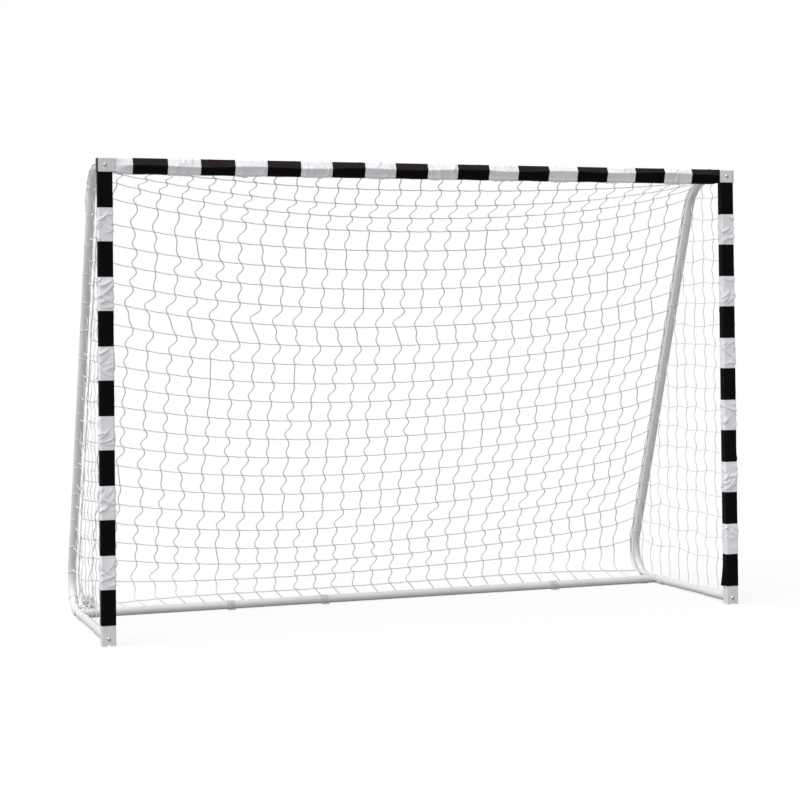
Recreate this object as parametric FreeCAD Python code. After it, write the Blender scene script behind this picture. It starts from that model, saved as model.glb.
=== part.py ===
import FreeCAD, Part
import math
import os

# Junior football goal: a rectangular front frame with fabric sleeves, two bent
# round side tubes, a round rear bar on the ground and a net.
# Frame: X along the crossbar, -Y out of the goal mouth, +Z up, origin at the
# centre of the bounding box's bottom face. Units are millimetres.

V = FreeCAD.Vector

# ---------------------------------------------------------------- overall
overall_width = 3000.0
overall_height = 2050.0
overall_depth = 1075.0

# ---------------------------------------------------------------- front frame
bar_face = 60.0                 # width of the rectangular tube seen from the front
bar_depth = 40.0                # its size from front to back
bar_wall = 1.5
bar_corner = 4.0
fit_gap = 0.25                  # a steel insert's clearance in its tube, each side
coupler_wall = 2.0
coupler_length = 240.0
post_split_height = 1010.0
crossbar_joint_x = 500.0        # the crossbar's two joints lie at plus and minus this
cap_flange = 4.0
cap_skirt = 12.0
connector_length = 150.0        # the part of the corner connector inside the post
connector_neck = 30.0           # its narrower neck, inside the crossbar
foot_notch_radius = 8.0

# ---------------------------------------------------------------- bolts and screws
bolt_radius = 4.0
bolt_hole_radius = 4.4
bolt_head_radius = 8.0
bolt_head_height = 5.0
bolt_reach = 22.0               # how far it screws into the tube's plug
thread_gap = 0.1
plug_length = 25.0
plug_gap = 0.1
foot_bolt_height = 30.0
screw_radius = 2.4
screw_head_radius = 4.5
screw_length = 9.0
screw_gap = 0.1
screw_pitch = 70.0              # between the two screws on one side of a joint
screw_inset = 25.0              # from the joint to the nearer screw

# ---------------------------------------------------------------- fabric sleeves
sleeve_gap = 0.5
sleeve_thickness = 1.2
band_length = 150.0
band_pitch = 292.0
crossbar_bands = 10
post_bands = 7
sleeve_foot_room = 35.1         # from the top of the foot socket up to a post's sleeve
first_band_offset = 149.0       # from the left end of the crossbar
sleeve_start_offset = 80.0      # bare crossbar left of the sleeve

# ---------------------------------------------------------------- round tubes
tube_radius = 19.0
tube_wall = 1.5
swage_gap = 0.2
swage_length = 60.0
swage_taper = 5.0               # the short cone between the full tube and its reduced end
seam_gap = 0.5
upper_bend_radius = 190.0
lower_bend_radius = 150.0
upper_bend_depth = 211.0        # from the front face to the start of the upper bend
upper_seam_height = 1147.0
lower_seam_height = 405.0
socket_wall = 2.0
socket_gap = 0.2
socket_length = 230.0
socket_overlap = 150.0
rear_bar_depth = 820.0          # from the front face to the rear bar's axis
rear_seam_left_x = -288.0
rear_seam_right_x = 429.0
saddle_wall = 3.0
saddle_length = 46.0
saddle_half_angle = 56.0
saddle_gap = 0.2
spigot_length = 55.0

# ---------------------------------------------------------------- snap buttons
button_radius = 4.0
button_gap = 0.08
button_proud = 3.5              # how far the button stands out of the outer tube
button_flange_radius = 5.5
button_flange = 1.2
button_offset = 27.0            # from the seam to the button
spring_width = 8.0
spring_thickness = 0.8
spring_length = 45.0

# ---------------------------------------------------------------- net and clips
net_thickness = 4.0
net_gap = 5.0
net_side_bulge_rate = 1.5       # how quickly the net eases from the side tubes to mid span, 1/m
net_foot_angle = 35.0           # where the net meets the rear bar, degrees above its back
net_rows = 22
net_columns = 11
clip_xs = (-760.0, -301.0, 894.0)
clip_width = 36.0
clip_wall = 1.8
clip_gap = 0.1
clip_opening = 100.0            # degrees, open downwards
clip_opening_lean = 12.0        # how far the opening's middle leans to the back, degrees
clip_hook_reach = 22.0
clip_hook_height = 5.0
clip_ground_gap = 0.6

# ---------------------------------------------------------------- derived places
front_y = -overall_depth / 2 + bolt_head_height
bar_y = front_y + bar_depth / 2
bar_back_y = front_y + bar_depth
cap_x = overall_width / 2
bar_end_x = cap_x - cap_flange
post_x = bar_end_x - bar_face / 2
crossbar_top = overall_height - sleeve_gap - sleeve_thickness
crossbar_z = crossbar_top - bar_face / 2
post_top = crossbar_top - bar_face
sleeve_lowest = foot_bolt_height + tube_radius + socket_gap + socket_wall + sleeve_foot_room
post_band_pitch = (post_top - band_length - sleeve_lowest) / (post_bands - 1)
insert_face = bar_face - 2 * bar_wall - 2 * fit_gap
insert_depth = bar_depth - 2 * bar_wall - 2 * fit_gap
tube_bore = tube_radius - tube_wall
swage_radius = tube_bore - swage_gap
swage_bore = swage_radius - tube_wall
socket_bore = tube_radius + socket_gap
socket_radius = socket_bore + socket_wall
neck_depth = insert_depth - 2 * (bar_corner - bar_wall)
rear_bar_y = front_y + rear_bar_depth
net_front_y = bar_back_y + sleeve_gap + sleeve_thickness + net_gap

X = V(1, 0, 0)
Y = V(0, 1, 0)
Z = V(0, 0, 1)
MIRROR_SIDES = (("right", 1), ("left", -1))
os.makedirs("parts", exist_ok=True)


# ---------------------------------------------------------------- side frame's centreline
def side_point(y, z):
    """A point in the right side frame's plane."""
    return V(post_x, y, z)


def outer_tangent(centre_a, radius_a, centre_b, radius_b):
    """Where a line that runs outside of two circles touches each of them."""
    run = centre_b - centre_a
    length = run.Length
    along = run / length
    outward = V(0, -along.z, along.y)
    lean = (radius_a - radius_b) / length
    normal = along * lean + outward * math.sqrt(1 - lean * lean)
    return centre_a + normal * radius_a, centre_b + normal * radius_b


def tangent_from(point, centre, radius):
    """Where a line from a point in front touches the underside of a circle."""
    run = centre - point
    reach = math.sqrt(run.Length ** 2 - radius ** 2)
    angle = math.atan2(run.z, run.y) - math.asin(radius / run.Length)
    return point + V(0, math.cos(angle), math.sin(angle)) * reach


upper_centre = side_point(front_y + upper_bend_depth, crossbar_z - upper_bend_radius)
lower_centre = side_point(overall_depth / 2 - tube_radius - lower_bend_radius,
                          tube_radius + lower_bend_radius)
leg_top, leg_foot = outer_tangent(upper_centre, upper_bend_radius, lower_centre, lower_bend_radius)
leg_down = (leg_foot - leg_top).normalize()
leg_front = V(0, leg_down.z, -leg_down.y)
stub_start = side_point(bar_back_y, crossbar_z)
bend_start = upper_centre + Z * upper_bend_radius
ground_front = side_point(bar_back_y, foot_bolt_height)
ground_rear = tangent_from(ground_front, lower_centre, lower_bend_radius)
ground_back = (ground_rear - ground_front).normalize()
ground_up = V(0, -ground_back.z, ground_back.y)


def on_leg(height):
    """The point of the leg's axis at a height."""
    return leg_top + leg_down * ((height - leg_top.z) / leg_down.z)


def on_ground(y):
    """The point of the ground tube's axis at a depth."""
    return ground_front + ground_back * ((y - ground_front.y) / ground_back.y)


def arc_between(start, centre, end):
    """The shorter arc about a centre from one point to another."""
    middle = ((start - centre) + (end - centre)).normalize() * (start - centre).Length
    return Part.Arc(start, centre + middle, end).toShape()


def line_between(start, end):
    """A straight edge."""
    return Part.LineSegment(start, end).toShape()


# ---------------------------------------------------------------- solids
def ring_face(centre, direction, outer, inner=0.0):
    """A flat ring, or a disc when it has no bore."""
    face = Part.Face(Part.Wire(Part.makeCircle(outer, centre, direction)))
    if inner > 0:
        face = face.cut(Part.Face(Part.Wire(Part.makeCircle(inner, centre, direction)))).Faces[0]
    return face


def swept_tube(edges, outer, inner):
    """A round tube along straight edges and arcs that run on smoothly."""
    pieces = []
    for edge in edges:
        start, end = edge.valueAt(edge.FirstParameter), edge.valueAt(edge.LastParameter)
        heading = edge.tangentAt(edge.FirstParameter)
        face = ring_face(start, heading, outer, inner)
        if edge.Curve.TypeId == "Part::GeomCircle":
            centre = edge.Curve.Center
            axis = (start - centre).cross(heading)
            turn = math.degrees((start - centre).getAngle(end - centre))
            pieces.append(face.revolve(centre, axis, turn))
        else:
            pieces.append(face.extrude(end - start))
    tube = pieces[0]
    for piece in pieces[1:]:
        tube = tube.fuse(piece)
    return tube.removeSplitter().Solids[0]


def straight_tube(start, end, outer, inner):
    """A straight round tube, or a rod when it has no bore."""
    return ring_face(start, end - start, outer, inner).extrude(end - start)


def swaged_end(mouth, direction):
    """A reduced end with its taper, from the full tube's mouth in a direction."""
    taper_end = mouth + direction * swage_taper
    length = swage_taper + swage_length
    cone = Part.makeCone(tube_radius, swage_radius, swage_taper, mouth, direction)
    rod = Part.makeCylinder(swage_radius, swage_length, taper_end, direction)
    bore = Part.makeCylinder(swage_bore, length, mouth, direction)
    return cone.fuse(rod).cut(bore)


def section_face(centre, across, up, width, height, radius):
    """A rectangle with rounded corners."""
    half_width, half_height = width / 2, height / 2
    slack = radius * (1 - math.sqrt(0.5))

    def at(a, b):
        return centre + across * a + up * b

    edges = []
    corners = ((1, 1), (-1, 1), (-1, -1), (1, -1))
    ends = []
    for sign_a, sign_b in corners:
        side_first = at(sign_a * half_width, sign_b * (half_height - radius))
        top_first = at(sign_a * (half_width - radius), sign_b * half_height)
        middle = at(sign_a * (half_width - slack), sign_b * (half_height - slack))
        start, end = (side_first, top_first) if sign_a * sign_b > 0 else (top_first, side_first)
        edges.append(Part.Arc(start, middle, end).toShape())
        ends.append((start, end))
    for index, (start, end) in enumerate(ends):
        edges.append(line_between(end, ends[(index + 1) % len(ends)][0]))
    return Part.Face(Part.Wire(Part.__sortEdges__(edges)))


def solid_bar(start, run, across, up, width, height, radius):
    """A bar of rounded rectangular section."""
    return section_face(start, across, up, width, height, radius).extrude(run)


def hollow_bar(start, run, across, up, width, height, wall, radius):
    """A rectangular tube with rounded corners."""
    inner_radius = max(radius - wall, radius / 3)
    outer = solid_bar(start, run, across, up, width, height, radius)
    inner = solid_bar(start, run, across, up, width - 2 * wall, height - 2 * wall, inner_radius)
    return outer.cut(inner)


def frame_bar(start, run, across, up):
    """A length of the front frame's tube, with its face width along across."""
    return hollow_bar(start, run, across, up, bar_face, bar_depth, bar_wall, bar_corner)


def insert_bar(start, run, across, up):
    """A steel insert that slides into the front frame's tube."""
    return hollow_bar(start, run, across, up, insert_face, insert_depth, coupler_wall,
                      bar_corner - bar_wall)


def mirrored(shape):
    """The left-hand copy of a right-hand piece."""
    return shape.mirror(V(0, 0, 0), X)


def single(shape):
    """The one solid that a step of the modelling leaves."""
    solids = shape.removeSplitter().Solids
    if len(solids) != 1:
        raise ValueError("expected one solid, found %d" % len(solids))
    return solids[0]


def save(name, shapes):
    """Writes one node, as one solid or a group of separate solids."""
    shapes = shapes if isinstance(shapes, list) else [shapes]
    solids = [solid for shape in shapes for solid in shape.Solids]
    for solid in solids:
        if not solid.isValid() or solid.Volume <= 0:
            raise ValueError("bad solid in " + name)
    shape = solids[0] if len(solids) == 1 else Part.makeCompound(solids)
    shape.exportStep("parts/" + name + ".step")


def save_pair(name, shape):
    """Writes a piece and its mirror image."""
    save(name + "_right", shape)
    save(name + "_left", mirrored(shape))


# ---------------------------------------------------------------- fasteners' holes
def bolt_bore(x, z, radius, depth):
    """A round cutter that runs back from the front face."""
    return Part.makeCylinder(radius, depth + 2, V(x, front_y - 1, z), Y)


def joint_screw_places(joint, along):
    """The four screws of a joint, on its back face, with their distances along the bar."""
    steps = (screw_inset, screw_inset + screw_pitch)
    return [joint + along * (sign * step) for sign in (-1, 1) for step in steps]


def joint_screw(place, gap=0.0):
    """A countersunk screw, flush with the bar's back face. A gap makes its cutter."""
    start = V(place.x, bar_back_y, place.z)
    head = Part.makeCone(screw_head_radius + gap, screw_radius + gap, bar_wall, start, -Y)
    shank = Part.makeCylinder(screw_radius + gap, screw_length + gap, start, -Y)
    return head.fuse(shank)


crossbar_joints = [V(sign * crossbar_joint_x, bar_y, crossbar_z) for sign in (-1, 1)]
post_joint = V(post_x, bar_y, post_split_height)
crossbar_screw_places = [place for joint in crossbar_joints
                         for place in joint_screw_places(joint, X)]
post_screw_places = joint_screw_places(post_joint, Z)


def cut_all(shape, cutters):
    """A shape less several cutters."""
    for cutter in cutters:
        shape = shape.cut(cutter)
    return shape


# ---------------------------------------------------------------- front frame
def build_crossbar():
    """The crossbar's three lengths, its two couplers and its end caps."""
    neck_hole = Part.makeBox(connector_neck + 2 * fit_gap, neck_depth + 2 * fit_gap, 3 * bar_wall,
                             V(post_x - connector_neck / 2 - fit_gap,
                               bar_y - neck_depth / 2 - fit_gap, post_top - bar_wall))
    bolt_hole = bolt_bore(post_x, crossbar_z, bolt_hole_radius, bar_depth)
    cutters = [joint_screw(place, screw_gap) for place in crossbar_screw_places]
    middle = frame_bar(V(-crossbar_joint_x, bar_y, crossbar_z), X * (2 * crossbar_joint_x), Z, Y)
    save("crossbar_middle", single(cut_all(middle, cutters)))
    outer = frame_bar(V(crossbar_joint_x, bar_y, crossbar_z), X * (bar_end_x - crossbar_joint_x), Z, Y)
    outer = cut_all(outer, cutters + [neck_hole, bolt_hole])
    save_pair("crossbar", single(outer))
    coupler = insert_bar(V(crossbar_joint_x - coupler_length / 2, bar_y, crossbar_z),
                         X * coupler_length, Z, Y)
    save_pair("crossbar_coupler", single(cut_all(coupler, cutters)))
    save("crossbar_screws", [joint_screw(place) for place in crossbar_screw_places])


def build_caps():
    """A plug with a thin flange in each end of the crossbar."""
    flange = solid_bar(V(bar_end_x, bar_y, crossbar_z), X * cap_flange, Z, Y,
                       bar_face, bar_depth, bar_corner)
    edge_round = min(cap_flange, bar_corner) / 2
    rim = [edge for edge in flange.Edges if abs(edge.CenterOfMass.x - cap_x) < 0.01]
    flange = flange.makeFillet(edge_round, rim)
    skirt = insert_bar(V(bar_end_x - cap_skirt, bar_y, crossbar_z), X * (cap_skirt + 0.5), Z, Y)
    save_pair("crossbar_cap", single(flange.fuse(skirt)))


def build_posts():
    """Each post's two lengths, coupler and corner connector."""
    cutters = [joint_screw(place, screw_gap) for place in post_screw_places]
    upper = frame_bar(post_joint, Z * (post_top - post_split_height), X, Y)
    save_pair("post_upper", single(cut_all(upper, cutters)))
    foot_hole = bolt_bore(post_x, foot_bolt_height, bolt_hole_radius, bar_depth)
    notch = bolt_bore(post_x, 0, foot_notch_radius, bar_depth)
    lower = frame_bar(V(post_x, bar_y, 0), Z * post_split_height, X, Y)
    save_pair("post_lower", single(cut_all(lower, cutters + [foot_hole, notch])))
    coupler = insert_bar(post_joint - Z * (coupler_length / 2), Z * coupler_length, X, Y)
    save_pair("post_coupler", single(cut_all(coupler, cutters)))
    screws = [joint_screw(place) for place in post_screw_places]
    save("post_screws", screws + [mirrored(screw) for screw in screws])


def build_corner_connectors():
    """The insert that stands in the post and reaches up into the crossbar."""
    body = insert_bar(V(post_x, bar_y, post_top - connector_length), Z * connector_length, X, Y)
    lid = solid_bar(V(post_x, bar_y, post_top - coupler_wall), Z * coupler_wall, X, Y,
                    insert_face, insert_depth, bar_corner - bar_wall)
    neck_height = bar_face - bar_wall - fit_gap
    neck = hollow_bar(V(post_x, bar_y, post_top - coupler_wall), Z * (coupler_wall + neck_height),
                      X, Y, connector_neck, neck_depth, coupler_wall, coupler_wall)
    bolt_hole = bolt_bore(post_x, crossbar_z, bolt_hole_radius, bar_depth)
    save_pair("corner_connector", single(body.fuse(lid).fuse(neck).cut(bolt_hole)))


def frame_bolt(z):
    """A round-headed bolt from the front face back into a tube's plug."""
    base = V(post_x, front_y, z)
    shank = Part.makeCylinder(bolt_radius, bar_depth + bolt_reach, base, Y)
    ball_radius = (bolt_head_radius ** 2 + bolt_head_height ** 2) / (2 * bolt_head_height)
    ball = Part.makeSphere(ball_radius, base + Y * (ball_radius - bolt_head_height))
    front = Part.makeBox(4 * ball_radius, 2 * ball_radius, 4 * ball_radius,
                         base - V(2 * ball_radius, 2 * ball_radius, 2 * ball_radius))
    return single(ball.common(front).fuse(shank))


def build_bolts():
    """The four corner bolts and the plugs that they screw into."""
    heights = (crossbar_z, foot_bolt_height)
    bolts = [frame_bolt(z) for z in heights]
    save("frame_bolts", bolts + [mirrored(bolt) for bolt in bolts])
    plug_bolt = [bolt_bore(post_x, z, bolt_radius + thread_gap, bar_depth + plug_length)
                 for z in heights]
    upper = straight_tube(stub_start, stub_start + Y * plug_length, tube_bore - plug_gap, 0)
    lower = straight_tube(ground_front - ground_back * plug_length,
                          ground_front + ground_back * plug_length, socket_bore - plug_gap, 0)
    lower = lower.cut(behind_post_cutter())
    plugs = [single(upper.cut(plug_bolt[0])), single(lower.cut(plug_bolt[1]))]
    save("tube_plugs", plugs + [mirrored(plug) for plug in plugs])


def behind_post_cutter():
    """A block that takes away whatever would reach into the post from behind."""
    side = 4 * socket_radius
    return Part.makeBox(side, side, side, V(post_x - side / 2, bar_back_y - side, ground_front.z - side / 2))


# ---------------------------------------------------------------- side frames
def button_bore(place, outward):
    """The round hole that a snap button works in."""
    return Part.makeCylinder(button_radius + button_gap, tube_radius + 5, place, outward)


upper_button = on_leg(upper_seam_height) - leg_down * button_offset
lower_button = on_leg(lower_seam_height) + leg_down * button_offset


def build_side_tubes():
    """The upper bent tube, the middle tube and the lower bent tube of each side."""
    upper_seam = on_leg(upper_seam_height)
    lower_seam = on_leg(lower_seam_height)
    holes = [button_bore(place, leg_front) for place in (upper_button, lower_button)]
    upper = swept_tube([line_between(stub_start, bend_start),
                        arc_between(bend_start, upper_centre, leg_top),
                        line_between(leg_top, upper_seam)], tube_radius, tube_bore)
    save_pair("side_tube_upper", single(upper.cut(holes[0])))
    neck = seam_gap + swage_taper
    top, bottom = upper_seam + leg_down * neck, lower_seam - leg_down * neck
    middle = straight_tube(top, bottom, tube_radius, swage_bore)
    middle = middle.fuse(swaged_end(top, -leg_down)).fuse(swaged_end(bottom, leg_down))
    save_pair("side_tube_middle", single(cut_all(middle, holes)))
    tip = ground_front + ground_back * (socket_length - socket_overlap)
    lower = swept_tube([line_between(lower_seam, leg_foot),
                        arc_between(leg_foot, lower_centre, ground_rear),
                        line_between(ground_rear, tip)], tube_radius, tube_bore)
    bracket_hole = Part.makeCylinder(bolt_hole_radius, 4 * tube_radius,
                                     on_ground(rear_bar_y) - X * (2 * tube_radius), X)
    save_pair("side_tube_lower", single(cut_all(lower, [holes[1], bracket_hole])))
    socket = straight_tube(ground_front - ground_back * plug_length,
                           ground_front + ground_back * socket_length, socket_radius, socket_bore)
    save_pair("foot_socket", single(socket.cut(behind_post_cutter())))


# ---------------------------------------------------------------- rear bar
rear_axis = on_ground(rear_bar_y)
bracket_face_x = post_x - tube_radius - saddle_gap - saddle_wall
rear_seams = [V(x, rear_bar_y, rear_axis.z) for x in (rear_seam_left_x, rear_seam_right_x)]
rear_buttons = [(rear_seams[0] + X * button_offset, Y), (rear_seams[1] + X * button_offset, Z)]


def build_rear_bar():
    """The rear bar's three lengths, each but the last with a swaged right-hand end."""
    start = V(-bracket_face_x, rear_bar_y, rear_axis.z)
    end = V(bracket_face_x, rear_bar_y, rear_axis.z)
    holes = [button_bore(place, outward) for place, outward in rear_buttons]
    mouths = [start] + rear_seams
    stops = [seam - X * (seam_gap + swage_taper) for seam in rear_seams] + [end]
    for index, name in enumerate(("left", "middle", "right")):
        bar = straight_tube(mouths[index], stops[index], tube_radius, tube_bore)
        if name != "right":
            bar = bar.fuse(swaged_end(stops[index], X))
            plug = straight_tube(stops[index] - X * swage_taper, stops[index], tube_radius, swage_bore)
            bar = bar.fuse(plug)
        save("rear_bar_" + name, single(cut_all(bar, holes)))


def build_rear_brackets():
    """The saddle on each ground tube whose spigot carries the rear bar, and its screw."""
    inner = tube_radius + saddle_gap
    outer = inner + saddle_wall
    half = ground_back * (saddle_length / 2)
    ring = straight_tube(rear_axis - half, rear_axis + half, outer, inner)
    height = outer * math.sin(math.radians(saddle_half_angle))
    keep = Part.makeBox(outer + 1, saddle_length + 10, 2 * height,
                        V(post_x - outer - 1, rear_bar_y - saddle_length / 2 - 5, rear_axis.z - height))
    boss_start = V(post_x - inner, rear_bar_y, rear_axis.z)
    boss = Part.makeCylinder(swage_radius, saddle_wall + spigot_length, boss_start, -X)
    hollow = Part.makeCylinder(inner, saddle_length + 20, rear_axis - ground_back * (saddle_length / 2 + 10),
                               ground_back)
    thread = Part.makeCylinder(bolt_radius + thread_gap, 2 * tube_radius + spigot_length, rear_axis, -X)
    bracket = single(ring.common(keep).fuse(boss).cut(hollow).cut(thread))
    save_pair("rear_bracket", bracket)
    head_start = rear_axis + X * tube_radius
    shank = Part.makeCylinder(bolt_radius, 2 * tube_radius + saddle_wall + bolt_reach, head_start, -X)
    head = Part.makeCylinder(bolt_head_radius, bolt_head_height, head_start - X * 0.5, X)
    flat = Part.makeCylinder(tube_radius, 4 * bolt_head_radius, rear_axis - ground_back * (2 * bolt_head_radius),
                             ground_back)
    screw = single(head.cut(flat).fuse(shank))
    save("rear_bracket_screws", [screw, mirrored(screw)])


# ---------------------------------------------------------------- snap buttons
def in_tube(shape, place, along, outward):
    """Moves a shape from its own axes, X along the tube and Z outward, to its place."""
    rotation = FreeCAD.Rotation(along, outward.cross(along), outward, "XZY")
    moved = shape.copy()
    moved.Placement = FreeCAD.Placement(place, rotation)
    return moved


def snap_button():
    """The button: a flanged pin with a domed tip."""
    corner = math.sqrt(swage_bore ** 2 - button_flange_radius ** 2)
    flange_top = corner - 0.3
    tip = tube_radius + button_proud
    flange = Part.makeCylinder(button_flange_radius, button_flange, V(0, 0, flange_top - button_flange))
    pin = Part.makeCylinder(button_radius, tip - flange_top, V(0, 0, flange_top))
    rim = [edge for edge in pin.Edges if abs(edge.CenterOfMass.z - tip) < 0.01]
    pin = pin.makeFillet(button_radius / 2, rim)
    return single(flange.fuse(pin)), flange_top - button_flange


def snap_spring(top):
    """The folded leaf spring under a button, from wall to wall of the reduced tube."""
    bottom = -math.sqrt(swage_bore ** 2 - (spring_width / 2) ** 2) + 0.2
    start = button_flange_radius + 2
    fold = start - spring_length
    bend = 3.0
    thick = spring_thickness
    outline = [(start, top), (fold + bend, bottom + 2 * bend), (fold, bottom + bend), (fold + bend, bottom),
               (start, bottom), (start, bottom + thick), (fold + bend + 0.4, bottom + thick),
               (fold + thick, bottom + bend), (fold + bend + 0.4, bottom + 2 * bend - thick),
               (start, top - thick)]
    flat_end = -button_flange_radius - 1
    outline.insert(1, (flat_end, top))
    outline.insert(-1, (flat_end, top - thick))
    points = [V(x, -spring_width / 2, z) for x, z in outline]
    face = Part.Face(Part.makePolygon(points + points[:1]))
    return face.extrude(Y * spring_width)


def build_snap_buttons():
    """A button and its spring at each leg joint and each joint of the rear bar."""
    button, flange_bottom = snap_button()
    spring = snap_spring(flange_bottom)
    legs = (("upper_leg", upper_button, -leg_down), ("lower_leg", lower_button, leg_down))
    for name, place, along in legs:
        save_pair("snap_button_" + name, in_tube(button, place, along, leg_front))
        save_pair("snap_spring_" + name, in_tube(spring, place, along, leg_front))
    for name, (place, outward) in zip(("left", "right"), rear_buttons):
        save("snap_button_rear_bar_" + name, in_tube(button, place, X, outward))
        save("snap_spring_rear_bar_" + name, in_tube(spring, place, X, outward))


# ---------------------------------------------------------------- fabric sleeves
def sleeve_piece(start, run, across):
    """A length of a sleeve round the front frame's tube."""
    width = bar_face + 2 * (sleeve_gap + sleeve_thickness)
    depth = bar_depth + 2 * (sleeve_gap + sleeve_thickness)
    return hollow_bar(start, run, across, Y, width, depth, sleeve_thickness,
                      bar_corner + sleeve_gap + sleeve_thickness)


def build_crossbar_sleeve():
    """The crossbar's sleeve: dark bands with pale lengths between them."""
    left_end = -cap_x
    bands, pales = [], []
    edge = left_end + sleeve_start_offset
    for index in range(crossbar_bands):
        start = left_end + first_band_offset + index * band_pitch
        pales.append(sleeve_piece(V(edge, bar_y, crossbar_z), X * (start - edge), Z))
        bands.append(sleeve_piece(V(start, bar_y, crossbar_z), X * band_length, Z))
        edge = start + band_length
    save("crossbar_sleeve", pales)
    save("crossbar_sleeve_bands", bands)


def build_post_sleeves():
    """A post's sleeve, which hangs from the crossbar's underside."""
    bands, pales = [], []
    for index in range(post_bands):
        top = post_top - index * post_band_pitch
        bands.append(sleeve_piece(V(post_x, bar_y, top), -Z * band_length, X))
        if index + 1 < post_bands:
            pales.append(sleeve_piece(V(post_x, bar_y, top - band_length),
                                      -Z * (post_band_pitch - band_length), X))
    for side, sign in MIRROR_SIDES:
        for name, pieces in (("post_sleeve_", pales), ("post_sleeve_bands_", bands)):
            save(name + side, pieces if sign > 0 else [mirrored(piece) for piece in pieces])


# ---------------------------------------------------------------- net
def on_net_edge(centre, radius, normal):
    """A point of the net's edge line, inside a bend of the side frame."""
    return V(0, centre.y, centre.z) + normal * radius


def net_edge_path(inset):
    """The line from the crossbar to the ground tube that lies inside the side frame's tube."""
    upper = upper_bend_radius - inset
    lower = lower_bend_radius - inset
    bend_top = on_net_edge(upper_centre, upper, Z)
    bend_foot = on_net_edge(upper_centre, upper, -leg_front)
    leg_end = on_net_edge(lower_centre, lower, -leg_front)
    ground_end = on_net_edge(lower_centre, lower, -ground_up)
    return [line_between(V(0, net_front_y, bend_top.z), bend_top),
            arc_between(bend_top, V(0, upper_centre.y, upper_centre.z), bend_foot),
            line_between(bend_foot, leg_end),
            arc_between(leg_end, V(0, lower_centre.y, lower_centre.z), ground_end)]


def net_profile(x, sides, foot):
    """The back net's outline at one distance across, as a closed thin strip."""
    half = post_x - tube_radius - net_gap
    rate = net_side_bulge_rate / 1000
    ease = math.cosh(rate * x) / math.cosh(rate * half)
    top = V(0, net_front_y + net_thickness, post_top + net_gap)
    line = []
    for row, side in enumerate(sides):
        t = row / (len(sides) - 1)
        middle = top * (1 - t) + foot * t
        point = middle * (1 - ease) + side * ease
        line.append(V(x, point.y, point.z))
    near, far = [], []
    for row, point in enumerate(line):
        run = line[min(row + 1, len(line) - 1)] - line[max(row - 1, 0)]
        normal = V(0, -run.z, run.y).normalize() * (net_thickness / 2)
        near.append(point - normal)
        far.append(point + normal)
    curves = []
    for points in (near, far):
        curve = Part.BSplineCurve()
        curve.interpolate(points)
        curves.append(curve.toShape())
    ends = [line_between(near[-1], far[-1]), line_between(far[0], near[0])]
    return Part.Wire([curves[0], ends[0], curves[1], ends[1]])


def build_net():
    """The net as plain sheets: the back, which runs into a roof, and the two sides."""
    reach = tube_radius + net_gap + net_thickness / 2
    foot_angle = math.radians(net_foot_angle)
    foot = V(0, rear_bar_y + reach * math.cos(foot_angle), rear_axis.z + reach * math.sin(foot_angle))
    path = Part.Wire(net_edge_path(tube_radius + net_gap + net_thickness / 2))
    sides = path.discretize(Number=net_rows) + [foot]
    half = post_x - tube_radius - net_gap
    columns = [half * (2 * column / (net_columns - 1) - 1) for column in range(net_columns)]
    profiles = [net_profile(x, sides, foot) for x in columns]
    save("net_back", single(Part.makeLoft(profiles, True, False)))
    edges = net_edge_path(tube_radius + net_gap)
    start = edges[0].Vertexes[0].Point
    ground_end = edges[-1].Vertexes[1].Point
    above_tube = ground_up * (tube_radius + net_gap)
    above_socket = ground_up * (socket_radius + net_gap)
    socket_end = on_ground(bar_back_y + socket_length + net_gap)
    corners = [ground_end, socket_end + above_tube, socket_end + above_socket,
               V(0, net_front_y, on_ground(net_front_y).z + socket_radius + net_gap), start]
    corners = [V(0, corner.y, corner.z) for corner in corners]
    edges += [line_between(a, b) for a, b in zip(corners, corners[1:])]
    sheet = Part.Face(Part.Wire(edges)).extrude(X * net_thickness)
    sheet.translate(X * (post_x - net_thickness / 2))
    save_pair("net_side", single(sheet))


def clip_section():
    """A clip's outline across the bar: an open ring whose front end turns into a hook."""
    inner = tube_radius + clip_gap
    outer = inner + clip_wall
    half = math.radians(clip_opening / 2)
    lean = math.radians(clip_opening_lean)

    def at(radius, angle):
        return V(0, radius * math.sin(angle), -radius * math.cos(angle))

    back, front = lean + half, lean - half + 2 * math.pi
    middle = (back + front) / 2
    floor = clip_ground_gap - rear_axis.z
    root = at(outer, front)
    inside = at(inner, front)
    tip_y = -tube_radius - clip_hook_reach
    hook = [inside, V(0, inside.y, floor), V(0, tip_y, floor), V(0, tip_y, floor + clip_hook_height),
            V(0, tip_y + clip_wall, floor + clip_hook_height), V(0, tip_y + clip_wall, floor + clip_wall),
            V(0, root.y - clip_wall, floor + clip_wall), root]
    edges = [Part.Arc(at(inner, back), at(inner, middle), inside).toShape(),
             Part.Arc(root, at(outer, middle), at(outer, back)).toShape(),
             line_between(at(outer, back), at(inner, back))]
    edges += [line_between(a, b) for a, b in zip(hook, hook[1:])]
    return Part.Face(Part.Wire(Part.__sortEdges__(edges)))


def build_clips():
    """Snap-on clips that hold the net's lower edge to the rear bar."""
    clips = []
    for x in clip_xs:
        clip = clip_section().extrude(X * clip_width)
        clip.translate(V(x - clip_width / 2, rear_bar_y, rear_axis.z))
        clips.append(single(clip))
    save("net_clips", clips)


build_crossbar()
build_caps()
build_posts()
build_corner_connectors()
build_bolts()
build_side_tubes()
build_rear_bar()
build_rear_brackets()
build_snap_buttons()
build_crossbar_sleeve()
build_post_sleeves()
build_net()
build_clips()
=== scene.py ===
import logging
import math
import random
from dataclasses import dataclass, field
from enum import Enum

import bpy
import bmesh
import numpy as np
from mathutils import Matrix, Vector


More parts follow.
